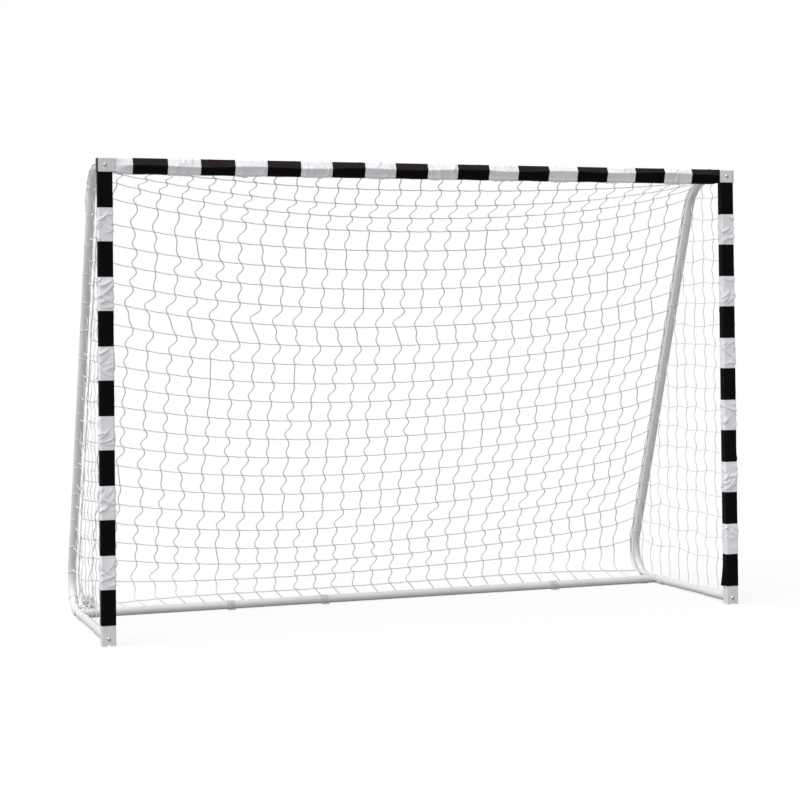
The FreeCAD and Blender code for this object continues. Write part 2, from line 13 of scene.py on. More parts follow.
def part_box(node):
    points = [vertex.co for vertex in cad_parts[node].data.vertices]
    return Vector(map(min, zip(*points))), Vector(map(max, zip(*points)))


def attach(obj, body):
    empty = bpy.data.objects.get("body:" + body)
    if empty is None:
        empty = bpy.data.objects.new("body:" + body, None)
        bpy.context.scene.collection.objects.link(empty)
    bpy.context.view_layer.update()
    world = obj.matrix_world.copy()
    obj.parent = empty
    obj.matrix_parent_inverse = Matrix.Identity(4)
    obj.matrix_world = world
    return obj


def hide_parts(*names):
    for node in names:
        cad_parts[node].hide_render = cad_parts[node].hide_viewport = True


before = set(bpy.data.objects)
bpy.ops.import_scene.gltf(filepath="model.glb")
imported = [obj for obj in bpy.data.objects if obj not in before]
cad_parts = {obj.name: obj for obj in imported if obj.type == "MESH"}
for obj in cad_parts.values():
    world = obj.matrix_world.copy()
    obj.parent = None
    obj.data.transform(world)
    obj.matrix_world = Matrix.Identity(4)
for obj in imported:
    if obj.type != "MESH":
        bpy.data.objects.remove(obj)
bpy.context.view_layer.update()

# Looks of the junior football goal: sewn sleeves on the front frame, powder-coated
# tubes, and a knotted twine net laced to them. Metres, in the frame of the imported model.

MAIN_BODY = "frame"
UP = Vector((0.0, 0.0, 1.0))
LOG = logging.getLogger("goal")

Colour = tuple[float, float, float]
Point = tuple[float, float, float]
Pair = tuple[float, float]


class Side(Enum):
    """The two ends of the goal, seen from in front of its mouth."""

    LEFT = -1
    RIGHT = 1

    @property
    def word(self) -> str:
        """The side as it stands in the names of pieces."""
        return self.name.lower()


class Slot(Enum):
    """The material slots."""

    WHITE_PAINT = "white_paint"
    ZINC = "zinc_steel"
    SPRING = "spring_steel"
    BLACK_PLASTIC = "black_plastic"
    WHITE_PLASTIC = "white_plastic"
    WHITE_NYLON = "white_nylon"
    BLACK_NYLON = "black_nylon"
    TWINE = "net_twine"


# ---------------------------------------------------------------- finishes
class Recipe:
    """A material's node graph, built up from its surface shader."""

    def __init__(self, name: str, colour: Colour, roughness: float, metallic: float = 0.0) -> None:
        """Start a material.

        Args:
            name: the material's name.
            colour: its plain colour.
            roughness: its plain roughness.
            metallic: 1 for bare metal.
        """
        self.material = bpy.data.materials.new(name)
        self.material.use_nodes = True
        self.tree = self.material.node_tree
        self.tree.nodes.clear()
        self.output = self.tree.nodes.new("ShaderNodeOutputMaterial")
        self.surface = self.tree.nodes.new("ShaderNodeBsdfPrincipled")
        self.tree.links.new(self.surface.outputs[0], self.output.inputs["Surface"])
        self.surface.inputs["Base Color"].default_value = (*colour, 1.0)
        self.surface.inputs["Roughness"].default_value = roughness
        self.surface.inputs["Metallic"].default_value = metallic
        self.place = self.tree.nodes.new("ShaderNodeTexCoord")
        self.roughness = roughness
        self.last_normal: bpy.types.NodeSocket | None = None

    def feed(self, socket: bpy.types.NodeSocket, value: object) -> None:
        """Link a value that is a socket, or set one that is plain."""
        if isinstance(value, bpy.types.NodeSocket):
            self.tree.links.new(value, socket)
        else:
            socket.default_value = value

    def add(self, kind: str, **values: object) -> bpy.types.Node:
        """Add a node.

        Args:
            kind: the node's type.
            values: its inputs by name with spaces as underscores, or its own properties.

        Returns:
            The new node.
        """
        node = self.tree.nodes.new(kind)
        for key, value in values.items():
            if hasattr(node, key):
                setattr(node, key, value)
            else:
                self.feed(node.inputs[key.replace("_", " ")], value)
        return node

    def math(self, operation: str, first: object, second: object = 0.0) -> bpy.types.NodeSocket:
        """Combine two values, each a socket or a number, and return the result's socket."""
        node = self.tree.nodes.new("ShaderNodeMath")
        node.operation = operation
        for socket, value in zip(node.inputs, (first, second)):
            self.feed(socket, value)
        return node.outputs[0]

    def noise(self, per_metre: float, detail: float = 2.0) -> bpy.types.NodeSocket:
        """A soft random value over the surface, with so many grains to a metre."""
        place = self.place.outputs["Object"]
        node = self.add("ShaderNodeTexNoise", Vector=place, Scale=per_metre, Detail=detail)
        return node.outputs["Fac"]

    def spread(self, value: bpy.types.NodeSocket, low: float, high: float,
               start: float = 0.3, end: float = 0.7) -> bpy.types.NodeSocket:
        """Map a value from start..end to low..high."""
        node = self.add("ShaderNodeMapRange", Value=value, From_Min=start, From_Max=end,
                        To_Min=low, To_Max=high)
        return node.outputs[0]

    def mix(self, factor: bpy.types.NodeSocket, first: object, second: object) -> bpy.types.NodeSocket:
        """A colour that runs with a factor from one to another, each a colour or a socket."""
        mix = self.tree.nodes.new("ShaderNodeMix")
        mix.data_type = "RGBA"
        self.feed(mix.inputs["Factor"], factor)
        for key, value in (("A", first), ("B", second)):
            self.feed(mix.inputs[key], (*value, 1.0) if isinstance(value, tuple) else value)
        return mix.outputs["Result"]

    def tint(self, factor: bpy.types.NodeSocket, first: object, second: object) -> None:
        """Let the base colour run from one colour to another with a factor."""
        self.feed(self.surface.inputs["Base Color"], self.mix(factor, first, second))

    def uneven(self, per_metre: float, detail: float, less: float, more: float) -> None:
        """Let the roughness wander, from so much under its plain value to so much over it."""
        patches = self.spread(self.noise(per_metre, detail), self.roughness - less, self.roughness + more)
        self.feed(self.surface.inputs["Roughness"], patches)

    def bump(self, height: bpy.types.NodeSocket, distance: float, strength: float = 1.0) -> None:
        """Raise the surface by a height between 0 and 1 times a distance in metres."""
        node = self.add("ShaderNodeBump", Height=height, Distance=distance, Strength=strength)
        if self.last_normal is not None:
            self.tree.links.new(self.last_normal, node.inputs["Normal"])
        self.last_normal = node.outputs["Normal"]
        self.tree.links.new(self.last_normal, self.surface.inputs["Normal"])


@dataclass(frozen=True)
class PowderCoat:
    """Gloss white powder coat with a fine orange peel and a little handling dust."""

    colour: Colour = (0.80, 0.79, 0.81)
    dusty: Colour = (0.72, 0.70, 0.70)
    roughness: float = 0.30
    dust_per_metre: float = 3.0
    peel_per_metre: float = 700.0
    peel_height: float = 0.00004

    def material(self) -> bpy.types.Material:
        """Mix the finish."""
        recipe = Recipe("powder_coat", self.colour, self.roughness)
        recipe.surface.inputs["Specular IOR Level"].default_value = 0.5
        dust = recipe.spread(recipe.noise(self.dust_per_metre, detail=6.0), 0.0, 1.0, start=0.45, end=0.75)
        recipe.tint(dust, self.colour, self.dusty)
        recipe.uneven(per_metre=40.0, detail=4.0, less=0.05, more=0.12)
        recipe.bump(recipe.noise(self.peel_per_metre), self.peel_height)
        return recipe.material


@dataclass(frozen=True)
class PlatedSteel:
    """Bright zinc plate, faintly clouded, with turning marks."""

    name: str = "zinc_plate"
    colour: Colour = (0.70, 0.70, 0.72)
    clouded: Colour = (0.55, 0.55, 0.57)
    roughness: float = 0.28
    cloud_per_metre: float = 260.0
    mark_per_metre: float = 1500.0
    mark_height: float = 0.00002

    def material(self) -> bpy.types.Material:
        """Mix the finish."""
        recipe = Recipe(self.name, self.colour, self.roughness, metallic=1.0)
        cloud = recipe.spread(recipe.noise(self.cloud_per_metre, detail=5.0), 0.0, 1.0)
        recipe.tint(cloud, self.colour, self.clouded)
        recipe.uneven(per_metre=420.0, detail=3.0, less=0.08, more=0.14)
        recipe.bump(recipe.noise(self.mark_per_metre), self.mark_height)
        return recipe.material


@dataclass(frozen=True)
class MouldedPlastic:
    """Injection-moulded plastic with a fine spark-eroded grain."""

    name: str
    colour: Colour
    wear_and_lit_top: Colour
    roughness: float
    wear_per_metre: float = 90.0
    grain_per_metre: float = 2400.0
    grain_height: float = 0.00003

    def material(self) -> bpy.types.Material:
        """Mix the finish."""
        recipe = Recipe(self.name, self.colour, self.roughness)
        wear = recipe.spread(recipe.noise(self.wear_per_metre, detail=5.0), 0.0, 1.0, start=0.5, end=0.8)
        recipe.tint(wear, self.colour, self.wear_and_lit_top)
        recipe.uneven(per_metre=300.0, detail=2.0, less=0.06, more=0.1)
        recipe.bump(recipe.noise(self.grain_per_metre, detail=1.0), self.grain_height)
        return recipe.material


@dataclass(frozen=True)
class CoatedNylon:
    """Woven nylon taffeta with a thin shiny coating, and a row of stitches beside each seam.

    The weave follows the cloth's own unrolled lengths, which its UV map holds in metres.
    """

    name: str
    colour: Colour
    shade: Colour
    # the lighter colour painted on the crossbar's upward facets, a painted highlight
    lit_top_colour: Colour
    thread: Colour
    roughness: float
    specular: float
    weave_pitch: float = 0.0011
    weave_height: float = 0.00006
    stitch_length: float = 0.0045
    stitch_width: float = 0.0011
    stitch_inset: float = 0.0035
    stitch_share: float = 0.72
    stitch_height: float = 0.0004
    cloud_per_metre: float = 24.0
    crumple_per_metre: float = 130.0
    crumple_height: float = 0.0012

    def material(self) -> bpy.types.Material:
        """Mix the finish."""
        recipe = Recipe(self.name, self.colour, self.roughness)
        recipe.surface.inputs["Specular IOR Level"].default_value = self.specular
        flat = recipe.add("ShaderNodeSeparateXYZ", Vector=recipe.place.outputs["UV"])
        around, along = flat.outputs["X"], flat.outputs["Y"]
        seam = recipe.add("ShaderNodeAttribute", attribute_name="seam_distance").outputs["Fac"]
        turn = 2 * math.pi / self.weave_pitch
        warp = recipe.math("SINE", recipe.math("MULTIPLY", around, turn))
        weft = recipe.math("SINE", recipe.math("MULTIPLY", along, turn))
        weave = recipe.math("MULTIPLY_ADD", recipe.math("MULTIPLY", warp, weft), 0.5)
        off_row = recipe.math("ABSOLUTE", recipe.math("SUBTRACT", seam, self.stitch_inset))
        in_row = recipe.math("LESS_THAN", off_row, self.stitch_width / 2)
        step = recipe.math("FRACT", recipe.math("DIVIDE", around, self.stitch_length))
        stitch = recipe.math("MULTIPLY", in_row, recipe.math("LESS_THAN", step, self.stitch_share))
        cloud = recipe.spread(recipe.noise(self.cloud_per_metre, detail=5.0), 0.0, 1.0)
        # Painted highlight: a mesh attribute marks the crossbar's upward facets, which turn to the lighter
        # colour.
        painted_top_light = recipe.add("ShaderNodeAttribute", attribute_name="painted_top_light").outputs["Fac"]
        cloth = recipe.mix(painted_top_light, recipe.mix(cloud, self.colour, self.shade), self.lit_top_colour)
        recipe.tint(stitch, cloth, self.thread)
        recipe.uneven(per_metre=60.0, detail=4.0, less=0.06, more=0.1)
        recipe.bump(recipe.noise(self.crumple_per_metre, detail=4.0), self.crumple_height, strength=0.5)
        recipe.bump(weave, self.weave_height)
        recipe.bump(stitch, self.stitch_height)
        return recipe.material


@dataclass(frozen=True)
class NetTwine:
    """Braided polyethylene twine: the UV map holds turns round it and metres along it."""

    name: str = "braided_twine"
    colour: Colour = (0.90, 0.89, 0.88)
    # darker colour painted into the grooves between the strands: painted shade
    shade: Colour = (0.76, 0.75, 0.74)
    roughness: float = 0.55
    strands: float = 3.0
    lay: float = 0.0055
    strand_height: float = 0.0004

    def material(self) -> bpy.types.Material:
        """Mix the finish."""
        recipe = Recipe(self.name, self.colour, self.roughness)
        recipe.surface.inputs["Specular IOR Level"].default_value = 0.35
        flat = recipe.add("ShaderNodeSeparateXYZ", Vector=recipe.place.outputs["UV"])
        around = recipe.math("MULTIPLY", flat.outputs["X"], 2 * math.pi * self.strands)
        along = recipe.math("MULTIPLY", flat.outputs["Y"], 2 * math.pi / self.lay)
        one_way = recipe.math("SINE", recipe.math("ADD", around, along))
        other_way = recipe.math("SINE", recipe.math("SUBTRACT", around, along))
        braid = recipe.math("MULTIPLY_ADD", recipe.math("MAXIMUM", one_way, other_way), 0.5)
        # Painted shade: where the braid dips between strands, the colour turns to the darker shade colour.
        recipe.tint(recipe.spread(braid, 1.0, 0.0, start=0.0, end=0.5), self.colour, self.shade)
        recipe.uneven(per_metre=500.0, detail=2.0, less=0.05, more=0.15)
        recipe.bump(braid, self.strand_height)
        return recipe.material


@dataclass(frozen=True)
class StudioFloor:
    """Pale matt studio floor: it looks nearly white, and throws less light back up than that."""

    colour: Colour = (0.86, 0.86, 0.86)
    mottle: Colour = (0.84, 0.84, 0.84)
    bounce: Colour = (0.38, 0.38, 0.39)
    glow: float = 0.80

    def material(self) -> bpy.types.Material:
        """Mix the finish."""
        recipe = Recipe("studio_floor", self.colour, 0.9)
        recipe.surface.inputs["Specular IOR Level"].default_value = 0.0
        recipe.tint(recipe.noise(per_metre=2.0, detail=3.0), self.colour, self.mottle)
        glow = recipe.add("ShaderNodeEmission", Strength=1.0)
        seen = recipe.tree.nodes.new("ShaderNodeMixShader")
        seen.inputs["Fac"].default_value = self.glow
        dull = recipe.tree.nodes.new("ShaderNodeBsdfDiffuse")
        dull.inputs["Color"].default_value = (*self.bounce, 1.0)
        choose = recipe.tree.nodes.new("ShaderNodeMixShader")
        path = recipe.tree.nodes.new("ShaderNodeLightPath")
        for start, end in ((recipe.surface.outputs[0], seen.inputs[1]), (glow.outputs[0], seen.inputs[2]),
                           (path.outputs["Is Camera Ray"], choose.inputs["Fac"]),
                           (dull.outputs[0], choose.inputs[1]), (seen.outputs[0], choose.inputs[2]),
                           (choose.outputs[0], recipe.output.inputs["Surface"])):
            recipe.tree.links.new(start, end)
        return recipe.material


@dataclass
class PaintShop:
    """The finishes of the whole goal, each mixed once."""

    materials: dict[Slot, bpy.types.Material] = field(default_factory=dict)

    def mix(self) -> None:
        """Mix every finish."""
        self.materials = {
            Slot.WHITE_PAINT: PowderCoat().material(),
            Slot.ZINC: PlatedSteel().material(),
            Slot.SPRING: PlatedSteel("spring_steel", (0.42, 0.42, 0.44), (0.30, 0.30, 0.31), 0.3).material(),
            Slot.BLACK_PLASTIC: MouldedPlastic(
                "black_plastic", (0.012, 0.012, 0.014), (0.03, 0.03, 0.032), 0.42).material(),
            Slot.WHITE_PLASTIC: MouldedPlastic(
                "white_plastic", (0.62, 0.61, 0.63), (0.54, 0.53, 0.55), 0.4).material(),
            # Each nylon's third colour is the lighter one painted on the crossbar's upward facets as a
            # highlight.
            Slot.WHITE_NYLON: CoatedNylon(
                "white_nylon", (0.92, 0.91, 0.94), (0.86, 0.85, 0.89), (0.95, 0.95, 0.96),
                (0.96, 0.96, 0.97), 0.34, 0.5).material(),
            Slot.BLACK_NYLON: CoatedNylon(
                "black_nylon", (0.0016, 0.0012, 0.0018), (0.003, 0.0024, 0.003), (0.024, 0.017, 0.020),
                (0.006, 0.005, 0.006), 0.55, 0.08).material(),
            Slot.TWINE: NetTwine().material(),
        }

    def dress(self, piece: bpy.types.Object, slot: Slot) -> None:
        """Give a new piece its finish, fix it to the frame and report it."""
        piece.data.materials.clear()
        piece.data.materials.append(self.materials[slot])
        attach(piece, MAIN_BODY)
        LOG.info("%s: %d faces", piece.name, len(piece.data.polygons))


# ---------------------------------------------------------------- mesh work
def placed(name: str, data: bpy.types.ID) -> bpy.types.Object:
    """Make an object of a mesh, a lens or a lamp, and put it in the scene."""
    thing = bpy.data.objects.new(name, data)
    bpy.context.scene.collection.objects.link(thing)
    return thing


def circle(count: int) -> np.ndarray:
    """Evenly spaced angles of a whole turn."""
    return 2 * math.pi * np.arange(count) / count


def unit(rows: np.ndarray) -> np.ndarray:
    """Directions brought to a length of one."""
    return rows / np.linalg.norm(rows, axis=-1, keepdims=True)


def reach_along(line: np.ndarray) -> np.ndarray:
    """How far along a line each of its points is."""
    return np.concatenate([[0.0], np.cumsum(np.linalg.norm(np.diff(line, axis=0), axis=1))])


def at_reach(line: np.ndarray, walk: np.ndarray | float) -> np.ndarray:
    """The places on a line at distances along it."""
    reach = reach_along(line)
    return np.stack([np.interp(walk, reach, part) for part in line.T], -1)


def flowing_line(points: np.ndarray, steps: int) -> np.ndarray:
    """A smooth line through points.

    Args:
        points: the places it passes, one a row.
        steps: how many pieces each span is cut into.

    Returns:
        The line's points, one a row.
    """
    padded = np.vstack([2 * points[0] - points[1], points, 2 * points[-1] - points[-2]])
    before, start, end, after = padded[:-3], padded[1:-2], padded[2:-1], padded[3:]
    rows = []
    for part in np.arange(steps) / steps:
        square, cube = part * part, part ** 3
        rows.append(0.5 * (2 * start + (end - before) * part
                           + (2 * before - 5 * start + 4 * end - after) * square
                           + (3 * start - before - 3 * end + after) * cube))
    line = np.stack(rows, 1).reshape(-1, points.shape[1])
    return np.vstack([line, points[-1]])


class TwineWork:
    """Strings, rings and knots gathered into one mesh."""

    tip: float = 0.6
    steep: float = 0.7
    knot_flatness: float = 0.55
    knot_twine: float = 0.85
    stitch_reach: float = 0.0052
    stitch_lean: float = 0.003

    def __init__(self, radius: float, sides: int = 6) -> None:
        """Start with nothing.

        Args:
            radius: half the twine's thickness.
            sides: the flats round the twine.
        """
        self.radius = radius
        self.sides = sides
        self.points: list[np.ndarray] = []
        self.faces: list[np.ndarray] = []
        self.turns: list[np.ndarray] = []
        self.count = 0

    def string(self, line: np.ndarray, closed: bool = False, radius: float | None = None) -> None:
        """Add one string.

        Args:
            line: the points of its middle, one a row.
            closed: true for a ring, whose last point isn't repeated.
            radius: its own half thickness, where it differs.
        """
        radius = radius or self.radius
        number, sides = len(line), self.sides
        if closed:
            run = np.roll(line, -1, 0) - np.roll(line, 1, 0)
        else:
            run = np.gradient(line, axis=0)
        run = unit(run)
        upright = abs(run[:, 2]).mean() >= self.steep
        first = unit(np.cross(run, np.array([1.0, 0.0, 0.0] if upright else [0.0, 0.0, 1.0])))
        second = np.cross(run, first)
        angle = circle(sides)
        ring = (np.cos(angle)[None, :, None] * first[:, None, :]
                + np.sin(angle)[None, :, None] * second[:, None, :])
        grown = np.full(number, radius)
        if not closed:
            grown[[0, -1]] = self.tip * radius
        self.points.append((line[:, None, :] + ring * grown[:, None, None]).reshape(-1, 3))
        spans = number if closed else number - 1
        start = np.repeat(np.arange(spans), sides)
        side = np.tile(np.arange(sides), spans)
        beside = (side + 1) % sides
        after = (start + 1) % number
        quads = np.stack([start * sides + side, start * sides + beside,
                          after * sides + beside, after * sides + side], 1)
        self.faces.append(quads + self.count)
        reach = reach_along(np.vstack([line, line[:1]]))
        turn = np.stack([side / sides, (side + 1) / sides, (side + 1) / sides, side / sides], 1)
        length = np.stack([reach[start], reach[start], reach[start + 1], reach[start + 1]], 1)
        self.turns.append(np.stack([turn, length], 2).reshape(-1, 2))
        self.count += number * sides

    def knot(self, centre: np.ndarray, run: np.ndarray, across: np.ndarray, size: float) -> None:
        """Add a knot: a short lump of two half turns round the crossing.

        Args:
            centre: where the strings cross.
            run: the direction of one string.
            across: the direction of the other.
            size: half the knot's breadth.
        """
        out = unit(np.cross(run, across))
        angle = circle(8)
        for lean in (1.0, -1.0):
            wide = (run * lean + across) / math.sqrt(2)
            line = (centre + np.outer(np.cos(angle) * size, wide) + out * lean * 0.0002
                    + np.outer(np.sin(angle) * size * self.knot_flatness, out))
            self.string(line, closed=True, radius=self.radius * self.knot_twine)

    def stitch(self, centre: Point, radius: float | None = None) -> None:
        """Add a stitch round an edge rope: a ring that leans along the goal."""
        angle = circle(14)
        line = (np.array(centre) + np.outer(np.cos(angle), (0.0, self.stitch_reach, 0.0))
                + np.outer(np.sin(angle), (self.stitch_lean, 0.0, self.stitch_reach)))
        self.string(line, closed=True, radius=radius)

    def piece(self, name: str) -> bpy.types.Object:
        """Make the mesh.

        Args:
            name: the piece's name.

        Returns:
            The new object, smooth shaded, with its UV map.
        """
        points = np.vstack(self.points)
        quads = np.vstack(self.faces)
        mesh = bpy.data.meshes.new(name)
        mesh.vertices.add(len(points))
        mesh.vertices.foreach_set("co", points.astype(np.float32).ravel())
        mesh.loops.add(quads.size)
        mesh.loops.foreach_set("vertex_index", quads.astype(np.int32).ravel())
        mesh.polygons.add(len(quads))
        mesh.polygons.foreach_set("loop_start", np.arange(0, quads.size, 4, dtype=np.int32))
        mesh.update(calc_edges=True)
        mesh.polygons.foreach_set("use_smooth", np.ones(len(quads), bool))
        layer = mesh.uv_layers.new(name="twine")
        layer.data.foreach_set("uv", np.vstack(self.turns).astype(np.float32).ravel())
        mesh.validate()
        return placed(name, mesh)


# ---------------------------------------------------------------- sewn sleeves
@dataclass
class Sleeve:
    """A sewn tube of nylon on one bar of the front frame: white, with black bands let in."""

    name: str
    start: Vector
    run: Vector
    across: Vector
    outward: Vector
    length: float
    bands: list[tuple[float, float]]
    seed: int
    ridge: float = 0.0
    sag: float = 0.0
    flare: float = 0.0
    crest_start: float = -0.004
    crest_end: float = 0.009
    face: float = 0.060
    depth: float = 0.040
    ease: float = 0.0012
    corner: float = 0.005
    around: int = 72
    ring_step: float = 0.0038
    creases: int = 13
    crease_height: float = 0.0065
    crease_width: float = 0.0060
    crease_lean: Pair = (12.0, 50.0)
    crease_reach: Pair = (0.020, 0.055)
    crease_bow: float = 4.0
    crease_spread: Pair = (0.5, 1.5)
    crease_rise: Pair = (0.3, 1.0)
    crease_sides: Pair = (0.45, 1.5)
    crease_margin: float = 0.1
    dark_creases: int = 2
    dark_share: float = 0.25
    pinned: float = 0.016
    tight: Pair = (0.06, 0.03)
    crest_wander: float = 0.003
    flare_length: float = 0.11
    flare_width: float = 0.022

    @property
    def girth(self) -> float:
        """The cloth's length round the bar."""
        flat = self.face + self.depth - 4 * self.corner + 4 * self.ease
        return 2 * flat + 2 * math.pi * self.corner

    def outline(self) -> tuple[np.ndarray, np.ndarray]:
        """The section round the bar as evenly spaced points and their outward directions.

        Returns:
            Two arrays of rows (across, outward).
        """
        half_a, half_b = self.face / 2 + self.ease, self.depth / 2 + self.ease
        corner = self.corner
        places, normals = [], []
        walk = np.arange(self.around) / self.around * self.girth
        straight_a, straight_b = 2 * (half_a - corner), 2 * (half_b - corner)
        arc = math.pi / 2 * corner
        for reach in walk:
            spot = reach
            for quarter, straight in enumerate((straight_a, straight_b, straight_a, straight_b)):
                turn = quarter * math.pi / 2
                ahead = np.array([math.cos(turn), math.sin(turn)])
                left = np.array([-ahead[1], ahead[0]])
                reach_a, reach_b = (half_a, half_b) if quarter % 2 == 0 else (half_b, half_a)
                if spot <= straight:
                    places.append(ahead * (spot - straight / 2) - left * reach_b)
                    normals.append(-left)
                    break
                spot -= straight
                if spot <= arc:
                    bend = spot / corner
                    centre = ahead * (reach_a - corner) - left * (reach_b - corner)
                    normal = -left * math.cos(bend) + ahead * math.sin(bend)
                    places.append(centre + normal * corner)
                    normals.append(normal)
                    break
                spot -= arc
        return np.array(places), np.array(normals)

    def seam_places(self) -> list[float]:
        """Where the cloth is sewn across, from the sleeve's start."""
        places = [0.0, self.length]
        for start, end in self.bands:
            places += [start, end]
        return sorted({round(place, 5) for place in places})

    def rings(self) -> np.ndarray:
        """Distances of the mesh's rings along the bar, with one on every seam."""
        places = self.seam_places()
        rings = [0.0]
        for start, end in zip(places, places[1:]):
            count = max(2, round((end - start) / self.ring_step))
            rings += [start + (end - start) * step / count for step in range(1, count + 1)]
        return np.array(rings)

    def crease_field(self, along: np.ndarray, about: np.ndarray) -> np.ndarray:
        """How far the cloth stands off the bar in its creases.

        Args:
            along: distances along the bar, one for each ring.
            about: distances round the bar, one for each point of the section.

        Returns:
            Heights with one row for each ring.
        """
        chance = random.Random(self.seed)
        height = np.zeros((len(along), len(about)))
        places = self.seam_places()
        grid_v, grid_u = np.meshgrid(along, about, indexing="ij")
        for start, end in zip(places, places[1:]):
            dark = any(abs(start - band[0]) < 1e-4 for band in self.bands)
            count = self.dark_creases if dark else self.creases
            tall = self.crease_height * (self.dark_share if dark else 1.0)
            for _ in range(count):
                margin = self.crease_margin * (end - start)
                centre_v = chance.uniform(start + margin, end - margin)
                centre_u = chance.uniform(0.0, self.girth)
                lean = math.radians(chance.choice((-1, 1, 1)) * chance.uniform(*self.crease_lean))
                reach = chance.uniform(*self.crease_reach)
                wide = self.crease_width * chance.uniform(*self.crease_spread)
                rise = tall * chance.uniform(*self.crease_rise)
                shift_u = (grid_u - centre_u + self.girth / 2) % self.girth - self.girth / 2
                shift_v = grid_v - centre_v
                down = shift_u * math.cos(lean) + shift_v * math.sin(lean)
                over = -shift_u * math.sin(lean) + shift_v * math.cos(lean) + self.crease_bow * down ** 2
                steep = np.where(over > 0, wide * self.crease_sides[0], wide * self.crease_sides[1])
                shape = np.exp(-np.abs(over / steep) ** 1.5) * np.exp(-(down / reach) ** 4)
                height = np.maximum(height, rise * shape)
        pinned = np.min([np.abs(along - place) for place in places], axis=0)
        return height * np.clip(pinned / self.pinned, 0.12, 1.0)[:, None]

    def cloth(self) -> tuple[np.ndarray, ...]:
        """The cloth's points.

        Returns:
            The points as (rings, around, 3), the ring distances, the distances round,
            each ring's distance to its nearest seam, and how far each point faces the sky,
            which marks the crossbar's upward facets for a painted highlight.
        """
        section, normal = self.outline()
        along = self.rings()
        about = np.arange(self.around) / self.around * self.girth
        height = self.crease_field(along, about)
        front = np.clip(normal[:, 1], 0.0, 1.0)
        half = self.face / 2 + self.ease
        share = along / self.length
        drift = self.crest_wander * np.sin(along * 13.0)
        crest_place = self.crest_start + (self.crest_end - self.crest_start) * share + drift
        from_crest = section[None, :, 0] - crest_place[:, None]
        above = np.clip(from_crest / (half - crest_place)[:, None], 0.0, 1.0)
        under = np.clip(-from_crest / (half + crest_place)[:, None], 0.0, 1.0)
        crest = (1 - above) * (1 - under) ** 1.2 * front[None, :]
        below = np.clip(-normal[:, 0], 0.0, 1.0)
        near_end = (np.clip(along / self.tight[0], 0.0, 1.0)
                    * np.clip((self.length - along) / self.tight[1], 0.0, 1.0))
        wander = 1 + 0.2 * np.sin(along * 9.0) * np.sin(along * 31.0)
        height = height + (self.ridge * crest + self.sag * below[None, :]) * (near_end * wander)[:, None]
        last = np.clip(1 - (self.length - along) / self.flare_length, 0.0, 1.0)
        around_left = (about + self.depth / 2) % self.girth - self.depth / 4
        loose = np.exp(-(around_left / self.flare_width) ** 2)
        flat = section[None, :, :] + normal[None, :, :] * height[:, :, None]
        flat[:, :, 0] -= self.flare * last[:, None] ** 1.5 * loose[None, :]
        # Mask of the crossbar's upward-facing facets, for a painted highlight that makes them lighter; the
        # posts get none.
        skyward = np.maximum((above > 0) * front[None, :], np.clip(normal[:, 0], 0.0, 1.0)[None, :])
        wear_and_lit_top = skyward * float(self.ridge > 0)
        across, outward, run, begin = (np.array(tuple(way)) for way in
                                       (self.across, self.outward, self.run, self.start))
        middle = begin + along[:, None] * run
        points = (middle[:, None, :] + flat[:, :, :1] * across + flat[:, :, 1:] * outward)
        places = np.array(self.seam_places())
        seam = np.abs(along[:, None] - places[None, :]).min(1)
        return points, along, about, seam, wear_and_lit_top

    def part(self, name: str, dark: bool, cloth: tuple[np.ndarray, ...]) -> bpy.types.Object:
        """One colour's panels as a piece.

        Args:
            name: the piece's name.
            dark: true for the black bands.
            cloth: what cloth() gave.

        Returns:
            The new object.
        """
        points, along, about, seam, wear_and_lit_top = cloth
        mesh = bpy.data.meshes.new(name)
        shape = bmesh.new()
        coords = shape.loops.layers.uv.new("cloth")
        distance = shape.verts.layers.float.new("seam_distance")
        # the painted highlight mask of the upward facets, kept on the vertices
        painted_top_light = shape.verts.layers.float.new("painted_top_light")
        number = len(about)
        for start, end in self.panels(dark):
            first = int(np.searchsorted(along, start - 1e-6))
            last = int(np.searchsorted(along, end - 1e-6))
            grid = []
            for ring in range(first, last + 1):
                row = [shape.verts.new(points[ring, spot]) for spot in range(number)]
                for spot, vert in enumerate(row):
                    vert[distance] = seam[ring]
                    vert[painted_top_light] = wear_and_lit_top[ring, spot]
                grid.append(row)
            for ring in range(len(grid) - 1):
                for spot in range(number):
                    beside = (spot + 1) % number
                    corners = (grid[ring][spot], grid[ring][beside], grid[ring + 1][beside],
                               grid[ring + 1][spot])
                    made = shape.faces.new(corners)
                    made.smooth = True
                    rounds = (about[spot], about[spot] + self.girth / number)
                    lengths = (along[first + ring], along[first + ring + 1])
                    spots = ((rounds[0], lengths[0]), (rounds[1], lengths[0]),
                             (rounds[1], lengths[1]), (rounds[0], lengths[1]))
                    for loop, spot_uv in zip(made.loops, spots):
                        loop[coords].uv = spot_uv
        bmesh.ops.recalc_face_normals(shape, faces=shape.faces[:])
        shape.to_mesh(mesh)
        shape.free()
        return placed(name, mesh)

    def panels(self, dark: bool) -> list[tuple[float, float]]:
        """Where the panels of one colour start and end along the bar."""
        if dark:
            return list(self.bands)
        edges = [0.0]
        for start, end in self.bands:
            edges += [start, end]
        edges.append(self.length)
        return [(a, b) for a, b in zip(edges[::2], edges[1::2]) if b - a > 1e-4]

    def build(self, shop: PaintShop) -> None:
        """Make the white panels and the black bands, and put them on the bar."""
        cloth = self.cloth()
        names = (self.name, self.name.replace("sleeve", "sleeve_bands"))
        for name, dark, slot in zip(names, (False, True), (Slot.WHITE_NYLON, Slot.BLACK_NYLON)):
            piece = self.part(name + "_cloth", dark, cloth)
            shop.dress(piece, slot)
            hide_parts(name)
            total = sum(end - start for start, end in self.panels(dark))


